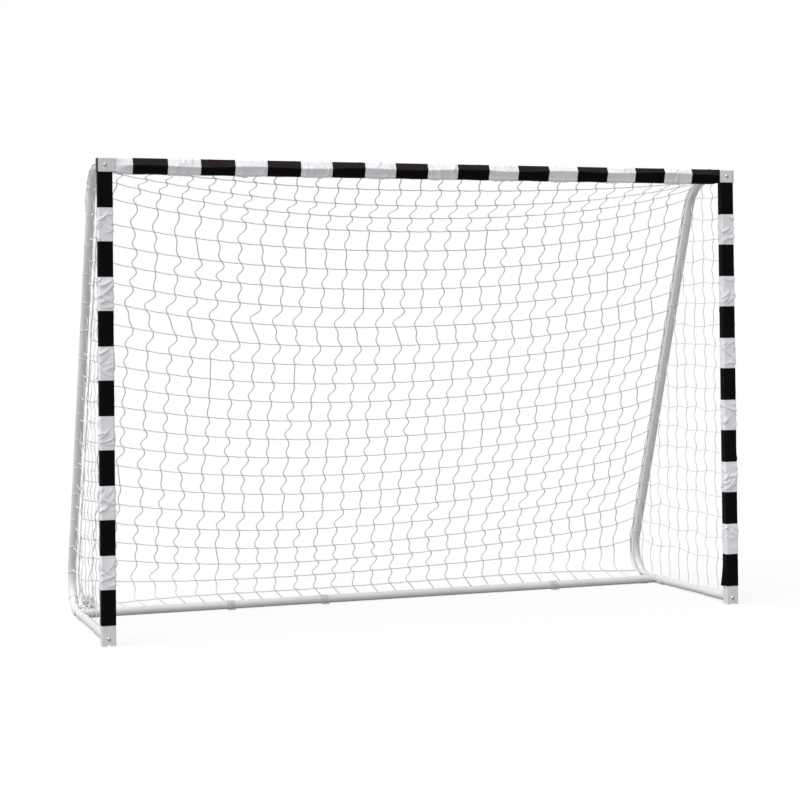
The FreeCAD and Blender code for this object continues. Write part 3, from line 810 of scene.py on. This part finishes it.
# ---------------------------------------------------------------- the net
@dataclass
class SideLine:
    """The line of a side frame's tube in its own plane, as (y, z), from the crossbar to the ground."""

    inset: float
    upper: Pair = (-0.3215, 1.8283)
    upper_radius: float = 0.190
    lower: Pair = (0.3685, 0.169)
    lower_radius: float = 0.150
    front: float = -0.4858
    lean: float = math.radians(21.30)
    ground_slope: float = 0.01279

    def points(self) -> np.ndarray:
        """The line's points, closely spaced."""
        upper, lower = np.array(self.upper), np.array(self.lower)
        big, small = self.upper_radius - self.inset, self.lower_radius - self.inset
        start = np.array([[self.front, upper[1] + big]])
        low_angle = -math.pi / 2 - self.ground_slope
        bends = []
        for centre, radius, first, last in ((upper, big, math.pi / 2, self.lean),
                                            (lower, small, self.lean, low_angle)):
            angle = np.linspace(first, last, 40)
            bends.append(centre + radius * np.stack([np.cos(angle), np.sin(angle)], 1))
        return np.vstack([start, *bends])

    def at(self, parts: np.ndarray) -> np.ndarray:
        """The places at shares of the line's length, as rows (y, z)."""
        points = self.points()
        return at_reach(points, parts * reach_along(points)[-1])


@dataclass
class BackNet:
    """The net's back, which runs up into its roof: knotted rows and wavy upright strings."""

    half: float = 1.435
    bulge_rate: float = 1.5
    top: Pair = (-0.4818, 1.9933)
    foot: Pair = (0.3088, 0.0349)
    last_share: float = 21 / 22
    roof_rows: tuple[float, ...] = (0.0, 0.039, 0.082, 0.113, 0.143)
    row_pitch: float = 0.0422
    rows_below: int = 17
    end_rows: tuple[float, ...] = (0.895, 0.930, 0.974)
    first_column: float = -1.374
    column_pitch: float = 0.0937
    column_growth: float = 0.0001
    columns: int = 30
    radius: float = 0.0028
    seed: int = 11
    sway: float = 0.010
    swing: float = 0.0085
    billow: float = 0.006
    lowest_across: float = -0.3
    lift_left: float = 0.061
    lift_right: float = 0.033
    foot_slide: float = 0.012
    bar_slide: float = 0.038
    foot_hold: float = 0.13
    roof_rise: float = 0.024
    roof_drop: float = 0.0104
    tie_lift: float = 0.011
    edge_inset: float = 0.010
    bar_axis: Pair = (0.2875, 0.020)
    bar_wrap: float = 0.0225
    drawn_up: Pair = (0.035, 0.06)
    let_down: Pair = (0.20, 0.07)
    leg_band: Pair = (1.28, 0.16)
    leg_from: Pair = (0.55, 0.15)
    calm_reach: float = 0.15
    free_reach: float = 0.10
    span_sag: float = 0.002
    knot_size: float = 0.0026

    def rows(self) -> np.ndarray:
        """The rows' places down the net, as shares of its length."""
        plain = [self.roof_rows[-1] + self.row_pitch * step for step in range(1, self.rows_below + 1)]
        return np.array([*self.roof_rows, *plain, *self.end_rows])

    def column_places(self) -> np.ndarray:
        """The upright strings' places across the goal."""
        step = np.arange(self.columns)
        inner = self.first_column + self.column_pitch * step + self.column_growth * step ** 2
        return np.concatenate([[-self.half], inner, [self.half]])

    def sagged(self, across: np.ndarray, down: np.ndarray) -> np.ndarray:
        """Where a row lies at each place across, since both ends are drawn up to the side tubes."""
        away = across - self.lowest_across
        lift = np.where(away < 0, self.lift_left, self.lift_right) * away ** 2
        held = np.clip((1 - down) / self.foot_hold, 0.0, 1.0) ** 0.5
        (up_at, up_wide), (down_at, down_wide) = self.drawn_up, self.let_down
        drawn_up = self.roof_rise * np.exp(-((down - up_at) / up_wide) ** 2)
        let_down = self.roof_drop * np.exp(-((down - down_at) / down_wide) ** 2)
        from_bar = np.clip(down / self.roof_rows[1], 0.0, 1.0)
        roof = np.where(away < 0, (drawn_up - let_down) * away ** 2, 0.0) * from_bar
        beside_leg = (np.clip((across - self.leg_band[0]) / self.leg_band[1], 0.0, 1.0)
                      * np.clip((down - self.leg_from[0]) / self.leg_from[1], 0.0, 1.0))
        return down * (1 - lift * held) - roof - self.tie_lift * beside_leg * held

    def surface(self, across: np.ndarray, down: np.ndarray) -> np.ndarray:
        """Points of the net's surface.

        Args:
            across: places across the goal.
            down: shares of the net's length, one for each place.

        Returns:
            The points, one a row.
        """
        side = SideLine(inset=self.edge_inset)
        down = self.sagged(across, down)
        hung = side.at(np.clip(down / self.last_share, 0.0, 1.0))
        rest = np.clip((down - self.last_share) / (1 - self.last_share), 0.0, 1.0)[:, None]
        foot = np.array(self.foot)
        hung = hung * (1 - rest) + foot * rest
        chord = np.outer(1 - down, np.array(self.top)) + np.outer(down, foot)
        ease = (np.cosh(self.bulge_rate * across) / math.cosh(self.bulge_rate * self.half))[:, None]
        flat = chord * (1 - ease) + hung * ease
        return np.column_stack([across, flat])

    def shifts(self) -> tuple[np.ndarray, np.ndarray]:
        """How far each row slides sideways: at mid goal, and its growth across."""
        chance = np.random.default_rng(self.seed)
        rows = len(self.rows())
        return chance.normal(-0.006, self.sway, rows), chance.normal(-0.005, 0.006, rows)

    def knots(self) -> np.ndarray:
        """The place across the goal of every knot, as (columns, rows)."""
        slide, growth = self.shifts()
        columns = self.column_places()
        free = np.clip((self.half - np.abs(columns)) / self.free_reach, 0.0, 1.0)[:, None]
        chance = np.random.default_rng(self.seed + 1)
        jitter = chance.normal(0.0, 0.003, (len(columns), len(slide)))
        knots = columns[:, None] + free * (slide[None, :] + growth[None, :] * columns[:, None] + jitter)
        knots[:, -1] += free[:, 0] * self.foot_slide
        return knots

    def under_bar(self, across: float) -> np.ndarray:
        """The last of an upright string, which passes down behind the rear bar."""
        angle = np.radians(np.linspace(25.0, -32.0, 7))
        return np.column_stack([np.full(7, across), self.bar_axis[0] + self.bar_wrap * np.cos(angle),
                                self.bar_axis[1] + self.bar_wrap * np.sin(angle)])

    def uprights(self, work: TwineWork) -> None:
        """String the upright twines, which wave from knot to knot."""
        knots, rows = self.knots(), self.rows()
        chance = np.random.default_rng(self.seed + 2)
        part = np.arange(8) / 8
        smooth = part * part * (3 - 2 * part)
        for column, line in enumerate(knots):
            edge = column in (0, len(knots) - 1)
            calm = min(max((self.half - abs(line[0])) / self.calm_reach, 0.3), 1.0)
            wave = (chance.normal(1.0, 0.35, len(rows)) * calm)[:-1, None] * (0.0 if edge else 1.0)
            across = (line[:-1, None] + np.diff(line)[:, None] * smooth
                      + self.swing * wave * np.sin(2 * math.pi * part))
            down = rows[:-1, None] + np.diff(rows)[:, None] * part
            points = self.surface(np.append(across, line[-1]), np.append(down, rows[-1]))
            points[:-1, 1] += (self.billow * wave * np.sin(math.pi * part)).ravel()
            work.string(np.vstack([points, self.under_bar(line[-1] + (0.0 if edge else self.bar_slide))]))

    def build(self, shop: PaintShop) -> None:
        """Knot the whole back and hang it in the goal."""
        work, ties = TwineWork(self.radius), TwineWork(self.radius)
        knots, rows = self.knots(), self.rows()
        self.uprights(work)
        for line, place in zip(knots.T, rows):
            spans = np.interp(np.arange(0, len(line) - 1 + 1e-9, 0.25), np.arange(len(line)), line)
            points = self.surface(spans, np.full(len(spans), place))
            points[:, 2] -= self.span_sag * np.sin(math.pi * np.arange(len(spans)) / 4) ** 2
            work.string(points)
        for inner, place in zip(knots[1:-1].T, rows[:-1]):
            centres = self.surface(inner, np.full(len(inner), place))
            below = self.surface(inner, np.full(len(inner), min(place + 0.01, 1.0)))
            for centre, run in zip(centres, unit(below - centres)):
                ties.knot(centre, run, np.array([1.0, 0.0, 0.0]), self.knot_size)
        for piece in (work.piece("back_net_twine"), ties.piece("back_net_knots")):
            shop.dress(piece, Slot.TWINE)
            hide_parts("net_back")


@dataclass
class SideNet:
    """The net's panel on one side: rows from the post to the leg, and wavy upright strings."""

    side: Side
    plane: float = 1.466
    front: float = -0.4858
    pitch: float = 0.102
    first_row: float = 0.062
    floor_gap: float = 0.0505
    ground_slope: float = 0.0128
    leg_inset: float = 0.024
    lowest_row: float = 0.10
    leg_room: Pair = (0.020, 0.015)
    knot_size: float = 0.003
    radius: float = 0.0019
    sway: float = 0.006
    swing: float = 0.006
    billow: float = 0.006

    def leg_line(self) -> np.ndarray:
        """The leg's inner edge as rows (y, z), from the top down."""
        return SideLine(inset=self.leg_inset).points()

    def leg_depth(self, height: np.ndarray | float) -> np.ndarray | float:
        """How far back the leg's inner edge is at a height."""
        line = self.leg_line()[::-1]
        return np.interp(height, line[:, 1], line[:, 0])

    def top_height(self, depth: np.ndarray | float) -> np.ndarray | float:
        """How high the panel reaches at a depth."""
        line = self.leg_line()
        highest = int(np.argmax(line[:, 0]))
        return np.interp(depth, line[:highest + 1, 0], line[:highest + 1, 1])

    def ground_height(self, depth: float) -> float:
        """How low the panel reaches at a depth, just above the ground tube."""
        return self.floor_gap - self.ground_slope * (depth - self.front)

    def space(self, flat: np.ndarray, out: np.ndarray | float = 0.0) -> np.ndarray:
        """Points of the panel from rows (y, z), pushed sideways."""
        across = self.side.value * (self.plane + np.zeros(len(flat)) + out)
        return np.column_stack([across, flat])

    def build(self, shop: PaintShop) -> None:
        """Knot the panel and hang it beside the leg."""
        chance = np.random.default_rng(40 + self.side.value)
        work = TwineWork(self.radius)
        top = float(self.leg_line()[0, 1])
        heights = np.arange(top - self.first_row, self.lowest_row, -self.pitch)
        deepest = float(self.leg_line()[:, 0].max())
        depths = np.arange(self.front + self.pitch, deepest - self.leg_room[0], self.pitch)
        lift = chance.normal(0.0, self.sway, (len(heights), len(depths)))
        slide = chance.normal(0.0, self.sway, (len(heights), 1)) + chance.normal(0.0, 0.004, lift.shape)
        knots = np.stack([depths[None, :] + slide, heights[:, None] + lift], 2)
        for row, height in enumerate(heights):
            end = float(self.leg_depth(height))
            inner = knots[row][knots[row][:, 0] < end - self.leg_room[0]]
            line = np.vstack([[self.front, height], inner, [end, height + 0.004]])
            work.string(flowing_line(self.space(line), 6))
            for centre in self.space(inner):
                work.knot(centre, np.array([0.0, 0.0, 1.0]), np.array([0.0, 1.0, 0.0]), self.knot_size)
        for column, depth in enumerate(depths):
            ceiling = float(self.top_height(depth))
            inner = [knot for knot in knots[:, column]
                     if knot[1] < ceiling - self.leg_room[0]
                     and knot[0] < self.leg_depth(knot[1]) - self.leg_room[1]]
            line = np.array([[depth, ceiling], *inner, [depth, self.ground_height(depth)]])
            smooth = flowing_line(line, 8)
            phase = np.linspace(0.0, len(line) - 1, len(smooth))
            strength = np.interp(phase, np.arange(len(line)), chance.normal(1.0, 0.3, len(line)))
            smooth[:, 0] += self.swing * strength * np.sin(2 * math.pi * phase)
            inward = -self.billow * strength * np.sin(math.pi * phase) ** 2
            work.string(self.space(smooth, inward))
        piece = work.piece(f"side_net_twine_{self.side.word}")
        shop.dress(piece, Slot.TWINE)
        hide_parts(f"net_side_{self.side.word}")


@dataclass
class Lacing:
    """The cord that ties the net's edges to one side frame, and the edge rope up the post's back."""

    side: Side
    plane: float = 1.466
    tube_radius: float = 0.019
    cord_radius: float = 0.0015
    rope_radius: float = 0.0022
    stitch_pitch: float = 0.100
    bunched_strings: int = 9
    leg_loop_pitch: dict[Side, float] = field(default_factory=lambda: {Side.LEFT: 0.135, Side.RIGHT: 0.42})
    ground_slope: float = 0.0128
    ground_start: Pair = (-0.4925, 0.030)
    post_back: float = -0.4872
    post_foot: float = 0.070
    post_top: float = 1.9800
    bar_corner: Pair = (0.2875, 0.020)
    wrap_turns: dict[Side, int] = field(default_factory=lambda: {Side.LEFT: 4, Side.RIGHT: 9})
    bar_wraps: Pair = (0.052, 0.0046)
    ground_wraps: Pair = (0.235, 0.0048)
    rope_inset: float = 0.006
    first_loop: float = 0.035
    loop_lean: float = 24.0
    first_stitch: float = 0.12
    thread_radius: float = 0.0013
    bunch_start: Pair = (0.06, 0.14)
    bunch_end: Pair = (0.32, 0.50)
    bunch_fan: float = 0.42

    def loop(self, work: TwineWork, centre: np.ndarray, run: np.ndarray, lean: float,
             radius: float) -> None:
        """Tie one loop round a tube.

        Args:
            work: where it goes.
            centre: a point of the tube's axis.
            run: the tube's direction.
            lean: how far the loop is tilted, in radians.
            radius: the radius of what it is round.
        """
        run = unit(run)
        up = unit(np.cross(run, np.array([1.0, 0.0, 0.0] if abs(run[0]) < 0.7 else [0.0, 1.0, 0.0])))
        across = np.cross(up, run)
        angle = circle(28)
        reach = radius + self.cord_radius
        line = (centre + np.outer(np.cos(angle), across) * reach + np.outer(np.sin(angle), up) * reach
                + np.outer(np.cos(angle + lean * 7), run) * reach * math.tan(lean))
        work.string(line, closed=True)

    def tube_line(self) -> np.ndarray:
        """The tube's axis as rows (y, z), from the corner of the front frame to the ground."""
        return SideLine(inset=0.0, front=-0.46).points()

    def tube_places(self) -> list[tuple[np.ndarray, np.ndarray]]:
        """Points of the tube's axis where loops are tied, with its direction there."""
        line = self.tube_line()
        places = []
        for walk in np.arange(self.first_loop, reach_along(line)[-1], self.leg_loop_pitch[self.side]):
            spot = at_reach(line, walk)
            run = np.array([0.0, *(at_reach(line, walk + 0.005) - spot)])
            places.append((np.array([self.side.value * self.plane, *spot]), run))
        return places

    def post_rope(self) -> np.ndarray:
        """The rope sewn into the panel's front edge, up the back of the post."""
        heights = np.linspace(self.post_foot, self.post_top, 60)
        depth = self.post_back + 0.0008 + np.abs(0.0012 * np.sin(heights * 31.0))
        across = self.side.value * (self.plane - self.rope_inset + 0.001 * np.sin(heights * 17.0))
        return np.column_stack([across, depth, heights])

    def post_stitches(self, work: TwineWork) -> None:
        """Tie the edge rope to the sleeve down the post's back."""
        across = self.side.value * (self.plane - self.rope_inset)
        for height in np.arange(self.first_stitch, self.post_top, self.stitch_pitch):
            work.stitch((across, self.post_back - 0.0005, height), radius=self.thread_radius)

    def corner_wrap(self, work: TwineWork) -> None:
        """Wind the cord many times round the rear bar and the ground tube at their corner."""
        chance = random.Random(7 + self.side.value)
        turns = range(self.wrap_turns[self.side])
        for turn in turns:
            across = self.side.value * (self.plane - self.bar_wraps[0] - self.bar_wraps[1] * turn)
            self.loop(work, np.array([across, *self.bar_corner]), np.array([1.0, 0.0, 0.0]),
                      chance.uniform(-0.12, 0.12), self.tube_radius)
        for turn in turns:
            depth = self.ground_wraps[0] - self.ground_wraps[1] * turn
            height = self.ground_start[1] - self.ground_slope * (depth - self.ground_start[0])
            self.loop(work, np.array([self.side.value * self.plane, depth, height]),
                      np.array([0.0, 1.0, 0.0]), chance.uniform(-0.15, 0.15), self.tube_radius)

    def bunch(self, work: TwineWork) -> None:
        """Lay the net's drawn-up edge along the outside of the tube's upper bend."""
        line = self.tube_line()
        chance = np.random.default_rng(29)
        for number in range(self.bunched_strings):
            first, last = chance.uniform(*self.bunch_start), chance.uniform(*self.bunch_end)
            walk = np.linspace(first, last, 34)
            spots = at_reach(line, walk)
            ahead = unit(np.gradient(spots, axis=0))
            outward = np.stack([-ahead[:, 1], ahead[:, 0]], 1)
            angle = (math.pi * (0.5 + self.bunch_fan * number / self.bunched_strings)
                     + 0.3 * np.sin(walk * 24 + number * 2.1))
            stand = (self.tube_radius + self.cord_radius + 0.001
                     + 0.003 * np.sin(walk * 19 + number * 1.7) ** 2)
            across = self.side.value * (self.plane - stand * np.cos(angle))
            work.string(np.column_stack([across, spots + outward * (stand * np.sin(angle))[:, None]]))

    def build(self, shop: PaintShop) -> None:
        """Lace the side."""
        work = TwineWork(self.cord_radius, 8)
        chance = random.Random(3 + self.side.value)
        for centre, run in self.tube_places():
            lean = math.radians(chance.uniform(-self.loop_lean, self.loop_lean))
            self.loop(work, centre, run, lean, self.tube_radius)
        if self.side is Side.LEFT:
            self.bunch(work)
        work.string(self.post_rope(), radius=self.rope_radius)
        self.post_stitches(work)
        self.corner_wrap(work)
        shop.dress(work.piece(f"net_lacing_{self.side.word}"), Slot.TWINE)


@dataclass
class TopRope:
    """The rope in the net's top edge, stitched to the back of the crossbar's sleeve."""

    half: float = 1.43
    depth: float = -0.4868
    height: float = 1.9965
    rope_radius: float = 0.0028
    stitch_radius: float = 0.0014
    stitch_pitch: float = 0.096

    def build(self, shop: PaintShop) -> None:
        """Lay the rope and its stitches."""
        work = TwineWork(self.stitch_radius, 8)
        across = np.linspace(-self.half, self.half, 120)
        line = np.column_stack([across, self.depth + 0.0008 * np.sin(across * 23),
                                self.height + 0.0015 * np.sin(across * 17)])
        work.string(line, radius=self.rope_radius)
        for place in np.arange(-self.half + 0.02, self.half, self.stitch_pitch):
            work.stitch((place, self.depth - 0.0005, self.height))
        shop.dress(work.piece("net_top_rope"), Slot.TWINE)


@dataclass
class BottomRope:
    """The rope in the net's bottom edge, which the clips hold low behind the rear bar."""

    half: float = 1.40
    axis: Pair = (0.2875, 0.020)
    reach: float = 0.0232
    angle: float = math.radians(-32.0)
    rope_radius: float = 0.0026

    def build(self, shop: PaintShop) -> None:
        """Lay the rope."""
        work = TwineWork(self.rope_radius, 8)
        across = np.linspace(-self.half, self.half, 120)
        angle = self.angle + 0.05 * np.sin(across * 19)
        work.string(np.column_stack([across, self.axis[0] + self.reach * np.cos(angle),
                                     self.axis[1] + self.reach * np.sin(angle)]))
        shop.dress(work.piece("net_bottom_rope"), Slot.TWINE)


@dataclass
class GatheredCorner:
    """Spare netting drawn together in the left rear corner."""

    centre: Point = (-1.412, 0.40, 0.055)
    spread: Point = (0.034, 0.050, 0.030)
    anchor: Point = (-1.441, 0.44, 0.10)
    bar_back: float = 0.314
    bar_top: float = 0.030
    strings: int = 13
    turns: int = 6
    radius: float = 0.0022

    def build(self, shop: PaintShop) -> None:
        """Gather the strings."""
        chance = np.random.default_rng(19)
        work = TwineWork(self.radius)
        low = np.array(self.centre) - np.array(self.spread)
        high = np.array(self.centre) + np.array(self.spread)
        for number in range(self.strings):
            inner = chance.uniform(low, high, (self.turns, 3))
            inner = inner[np.argsort(inner[:, 0])]
            start = np.array(self.anchor) + (0.0, -0.05 * chance.random(), 0.06 * number / self.strings)
            end = (high[0] + 0.03 - 0.09 * chance.random(), self.bar_back,
                   self.bar_top + 0.02 * chance.random())
            work.string(flowing_line(np.vstack([start, inner, end]), 8))
        shop.dress(work.piece("gathered_corner_twine"), Slot.TWINE)


# ---------------------------------------------------------------- studio
@dataclass(frozen=True)
class Studio:
    """A plain pale floor, a white surround and soft light from above and from the left."""

    place: Point = (-2.742, -8.328, 1.317)
    yaw: float = math.radians(19.503)
    pitch: float = math.radians(0.863)
    roll: float = math.radians(-0.643)
    lens: float = 83.41
    sensor: float = 36.0
    shift: Pair = (-0.05, -0.125)
    floor_half: float = 40.0
    shown_white: float = 1.0
    shown_tint: Colour = (1.0, 1.0, 1.0)
    light_white: float = 0.45
    light_tint: Colour = (0.98, 0.98, 1.0)
    sun_from: Point = (-0.50, -0.22, 0.84)
    sun_strength: float = 0.9 * math.pi
    sun_angle: float = math.radians(50.0)

    def camera(self) -> None:
        """Set up the camera."""
        lens = bpy.data.cameras.new("studio_camera")
        lens.sensor_width = self.sensor
        lens.lens = self.lens
        lens.shift_x, lens.shift_y = self.shift
        lens.clip_end = 200.0
        camera = placed("studio_camera", lens)
        level = Vector((math.sin(self.yaw), math.cos(self.yaw), 0.0))
        right = Vector((math.cos(self.yaw), -math.sin(self.yaw), 0.0))
        ahead = level * math.cos(self.pitch) + UP * math.sin(self.pitch)
        above = UP * math.cos(self.pitch) - level * math.sin(self.pitch)
        rolled_right = right * math.cos(self.roll) + above * math.sin(self.roll)
        rolled_up = above * math.cos(self.roll) - right * math.sin(self.roll)
        turn = Matrix((rolled_right, rolled_up, -ahead)).transposed().to_4x4()
        turn.translation = Vector(self.place)
        camera.matrix_world = turn
        bpy.context.scene.camera = camera

    def floor(self) -> None:
        """Lay the floor."""
        mesh = bpy.data.meshes.new("studio_floor")
        half = self.floor_half
        corners = [(-half, -half, 0.0), (half, -half, 0.0), (half, half, 0.0), (-half, half, 0.0)]
        mesh.from_pydata(corners, [], [(0, 1, 2, 3)])
        mesh.materials.append(StudioFloor().material())
        floor = placed("studio_floor", mesh)

    def surround(self) -> None:
        """Light the scene with a white surround that is brighter than what it gives off."""
        world = bpy.data.worlds.new("studio")
        bpy.context.scene.world = world
        world.use_nodes = True
        tree = world.node_tree
        tree.nodes.clear()
        output = tree.nodes.new("ShaderNodeOutputWorld")
        choose = tree.nodes.new("ShaderNodeMixShader")
        path = tree.nodes.new("ShaderNodeLightPath")
        for slot, colour, strength in ((1, self.light_tint, self.light_white),
                                       (2, self.shown_tint, self.shown_white)):
            white = tree.nodes.new("ShaderNodeBackground")
            white.inputs["Color"].default_value = (*colour, 1.0)
            white.inputs["Strength"].default_value = strength
            tree.links.new(white.outputs[0], choose.inputs[slot])
        tree.links.new(path.outputs["Is Camera Ray"], choose.inputs["Fac"])
        tree.links.new(choose.outputs[0], output.inputs["Surface"])

    def sky_light(self) -> None:
        """Hang one broad soft light high on the left, so far off that it is even over the floor."""
        light = bpy.data.lights.new("soft_sky_light", "SUN")
        light.energy = self.sun_strength
        light.angle = self.sun_angle
        lamp = placed("soft_sky_light", light)
        lamp.rotation_euler = Vector(self.sun_from).to_track_quat("Z", "Y").to_euler()

    def build(self) -> None:
        """Set up the whole studio."""
        self.camera()
        self.floor()
        self.surround()
        self.sky_light()
        bpy.context.scene.view_settings.view_transform = "Standard"


# ---------------------------------------------------------------- the goal
@dataclass
class Goal:
    """The whole goal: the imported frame's pieces, dressed, and the soft pieces around them."""

    shop: PaintShop
    band_pitch: float = 0.292
    band_length: float = 0.150
    crossbar_bands: int = 10
    post_bands: int = 7

    def bands(self, first: float, count: int) -> list[Pair]:
        """Where the black bands start and end along a sleeve."""
        starts = [first + self.band_pitch * step for step in range(count)]
        return [(start, start + self.band_length) for start in starts]

    def dress_frame(self) -> None:
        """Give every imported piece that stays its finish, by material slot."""
        plain = {
            Slot.BLACK_PLASTIC: ("crossbar_cap",),
            Slot.ZINC: ("bolts", "screws", "snap_button", "coupler", "connector", "plugs"),
            Slot.SPRING: ("snap_spring",),
            Slot.WHITE_PLASTIC: ("net_clips",),
        }
        for name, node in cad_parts.items():
            chosen = Slot.WHITE_PAINT
            for slot, words in plain.items():
                if any(word in name for word in words):
                    chosen = slot
            node.data.materials.clear()
            node.data.materials.append(self.shop.materials[chosen])

    def sleeves(self) -> list[Sleeve]:
        """The three sleeves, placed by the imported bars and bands."""
        bar_low, bar_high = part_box("crossbar_middle")
        middle = (bar_low + bar_high) / 2
        low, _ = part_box("crossbar_sleeve")
        first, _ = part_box("crossbar_sleeve_bands")
        start = Vector((low.x, middle.y, middle.z))
        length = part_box("crossbar_sleeve_bands")[1].x - low.x
        bands = self.bands(first.x - low.x, self.crossbar_bands)
        right, forward = Vector((1, 0, 0)), Vector((0, -1, 0))
        made = [Sleeve("crossbar_sleeve", start, right, UP, forward, length, bands, seed=5,
                       ridge=0.013, sag=0.005)]
        for side in Side:
            band_low, band_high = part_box(f"post_sleeve_bands_{side.word}")
            post_low, post_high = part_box(f"post_lower_{side.word}")
            middle = (post_low + post_high) / 2
            start = Vector((middle.x, middle.y, band_high.z))
            made.append(Sleeve(f"post_sleeve_{side.word}", start, -UP, right, forward,
                               band_high.z - band_low.z, self.bands(0.0, self.post_bands),
                               seed=21 + side.value, creases=16,
                               flare=0.013 if side is Side.RIGHT else 0.0))
        return made

    def build(self) -> None:
        """Make and dress everything."""
        self.dress_frame()
        for sleeve in self.sleeves():
            sleeve.build(self.shop)
        BackNet().build(self.shop)
        for side in Side:
            SideNet(side).build(self.shop)
            Lacing(side).build(self.shop)
        TopRope().build(self.shop)
        BottomRope().build(self.shop)
        GatheredCorner().build(self.shop)


def main() -> None:
    """Build the studio and the goal."""
    logging.basicConfig(level=logging.INFO, format="%(name)s %(message)s")
    Studio().build()
    shop = PaintShop()
    shop.mix()
    Goal(shop).build()


if __name__ == "__main__":
    main()
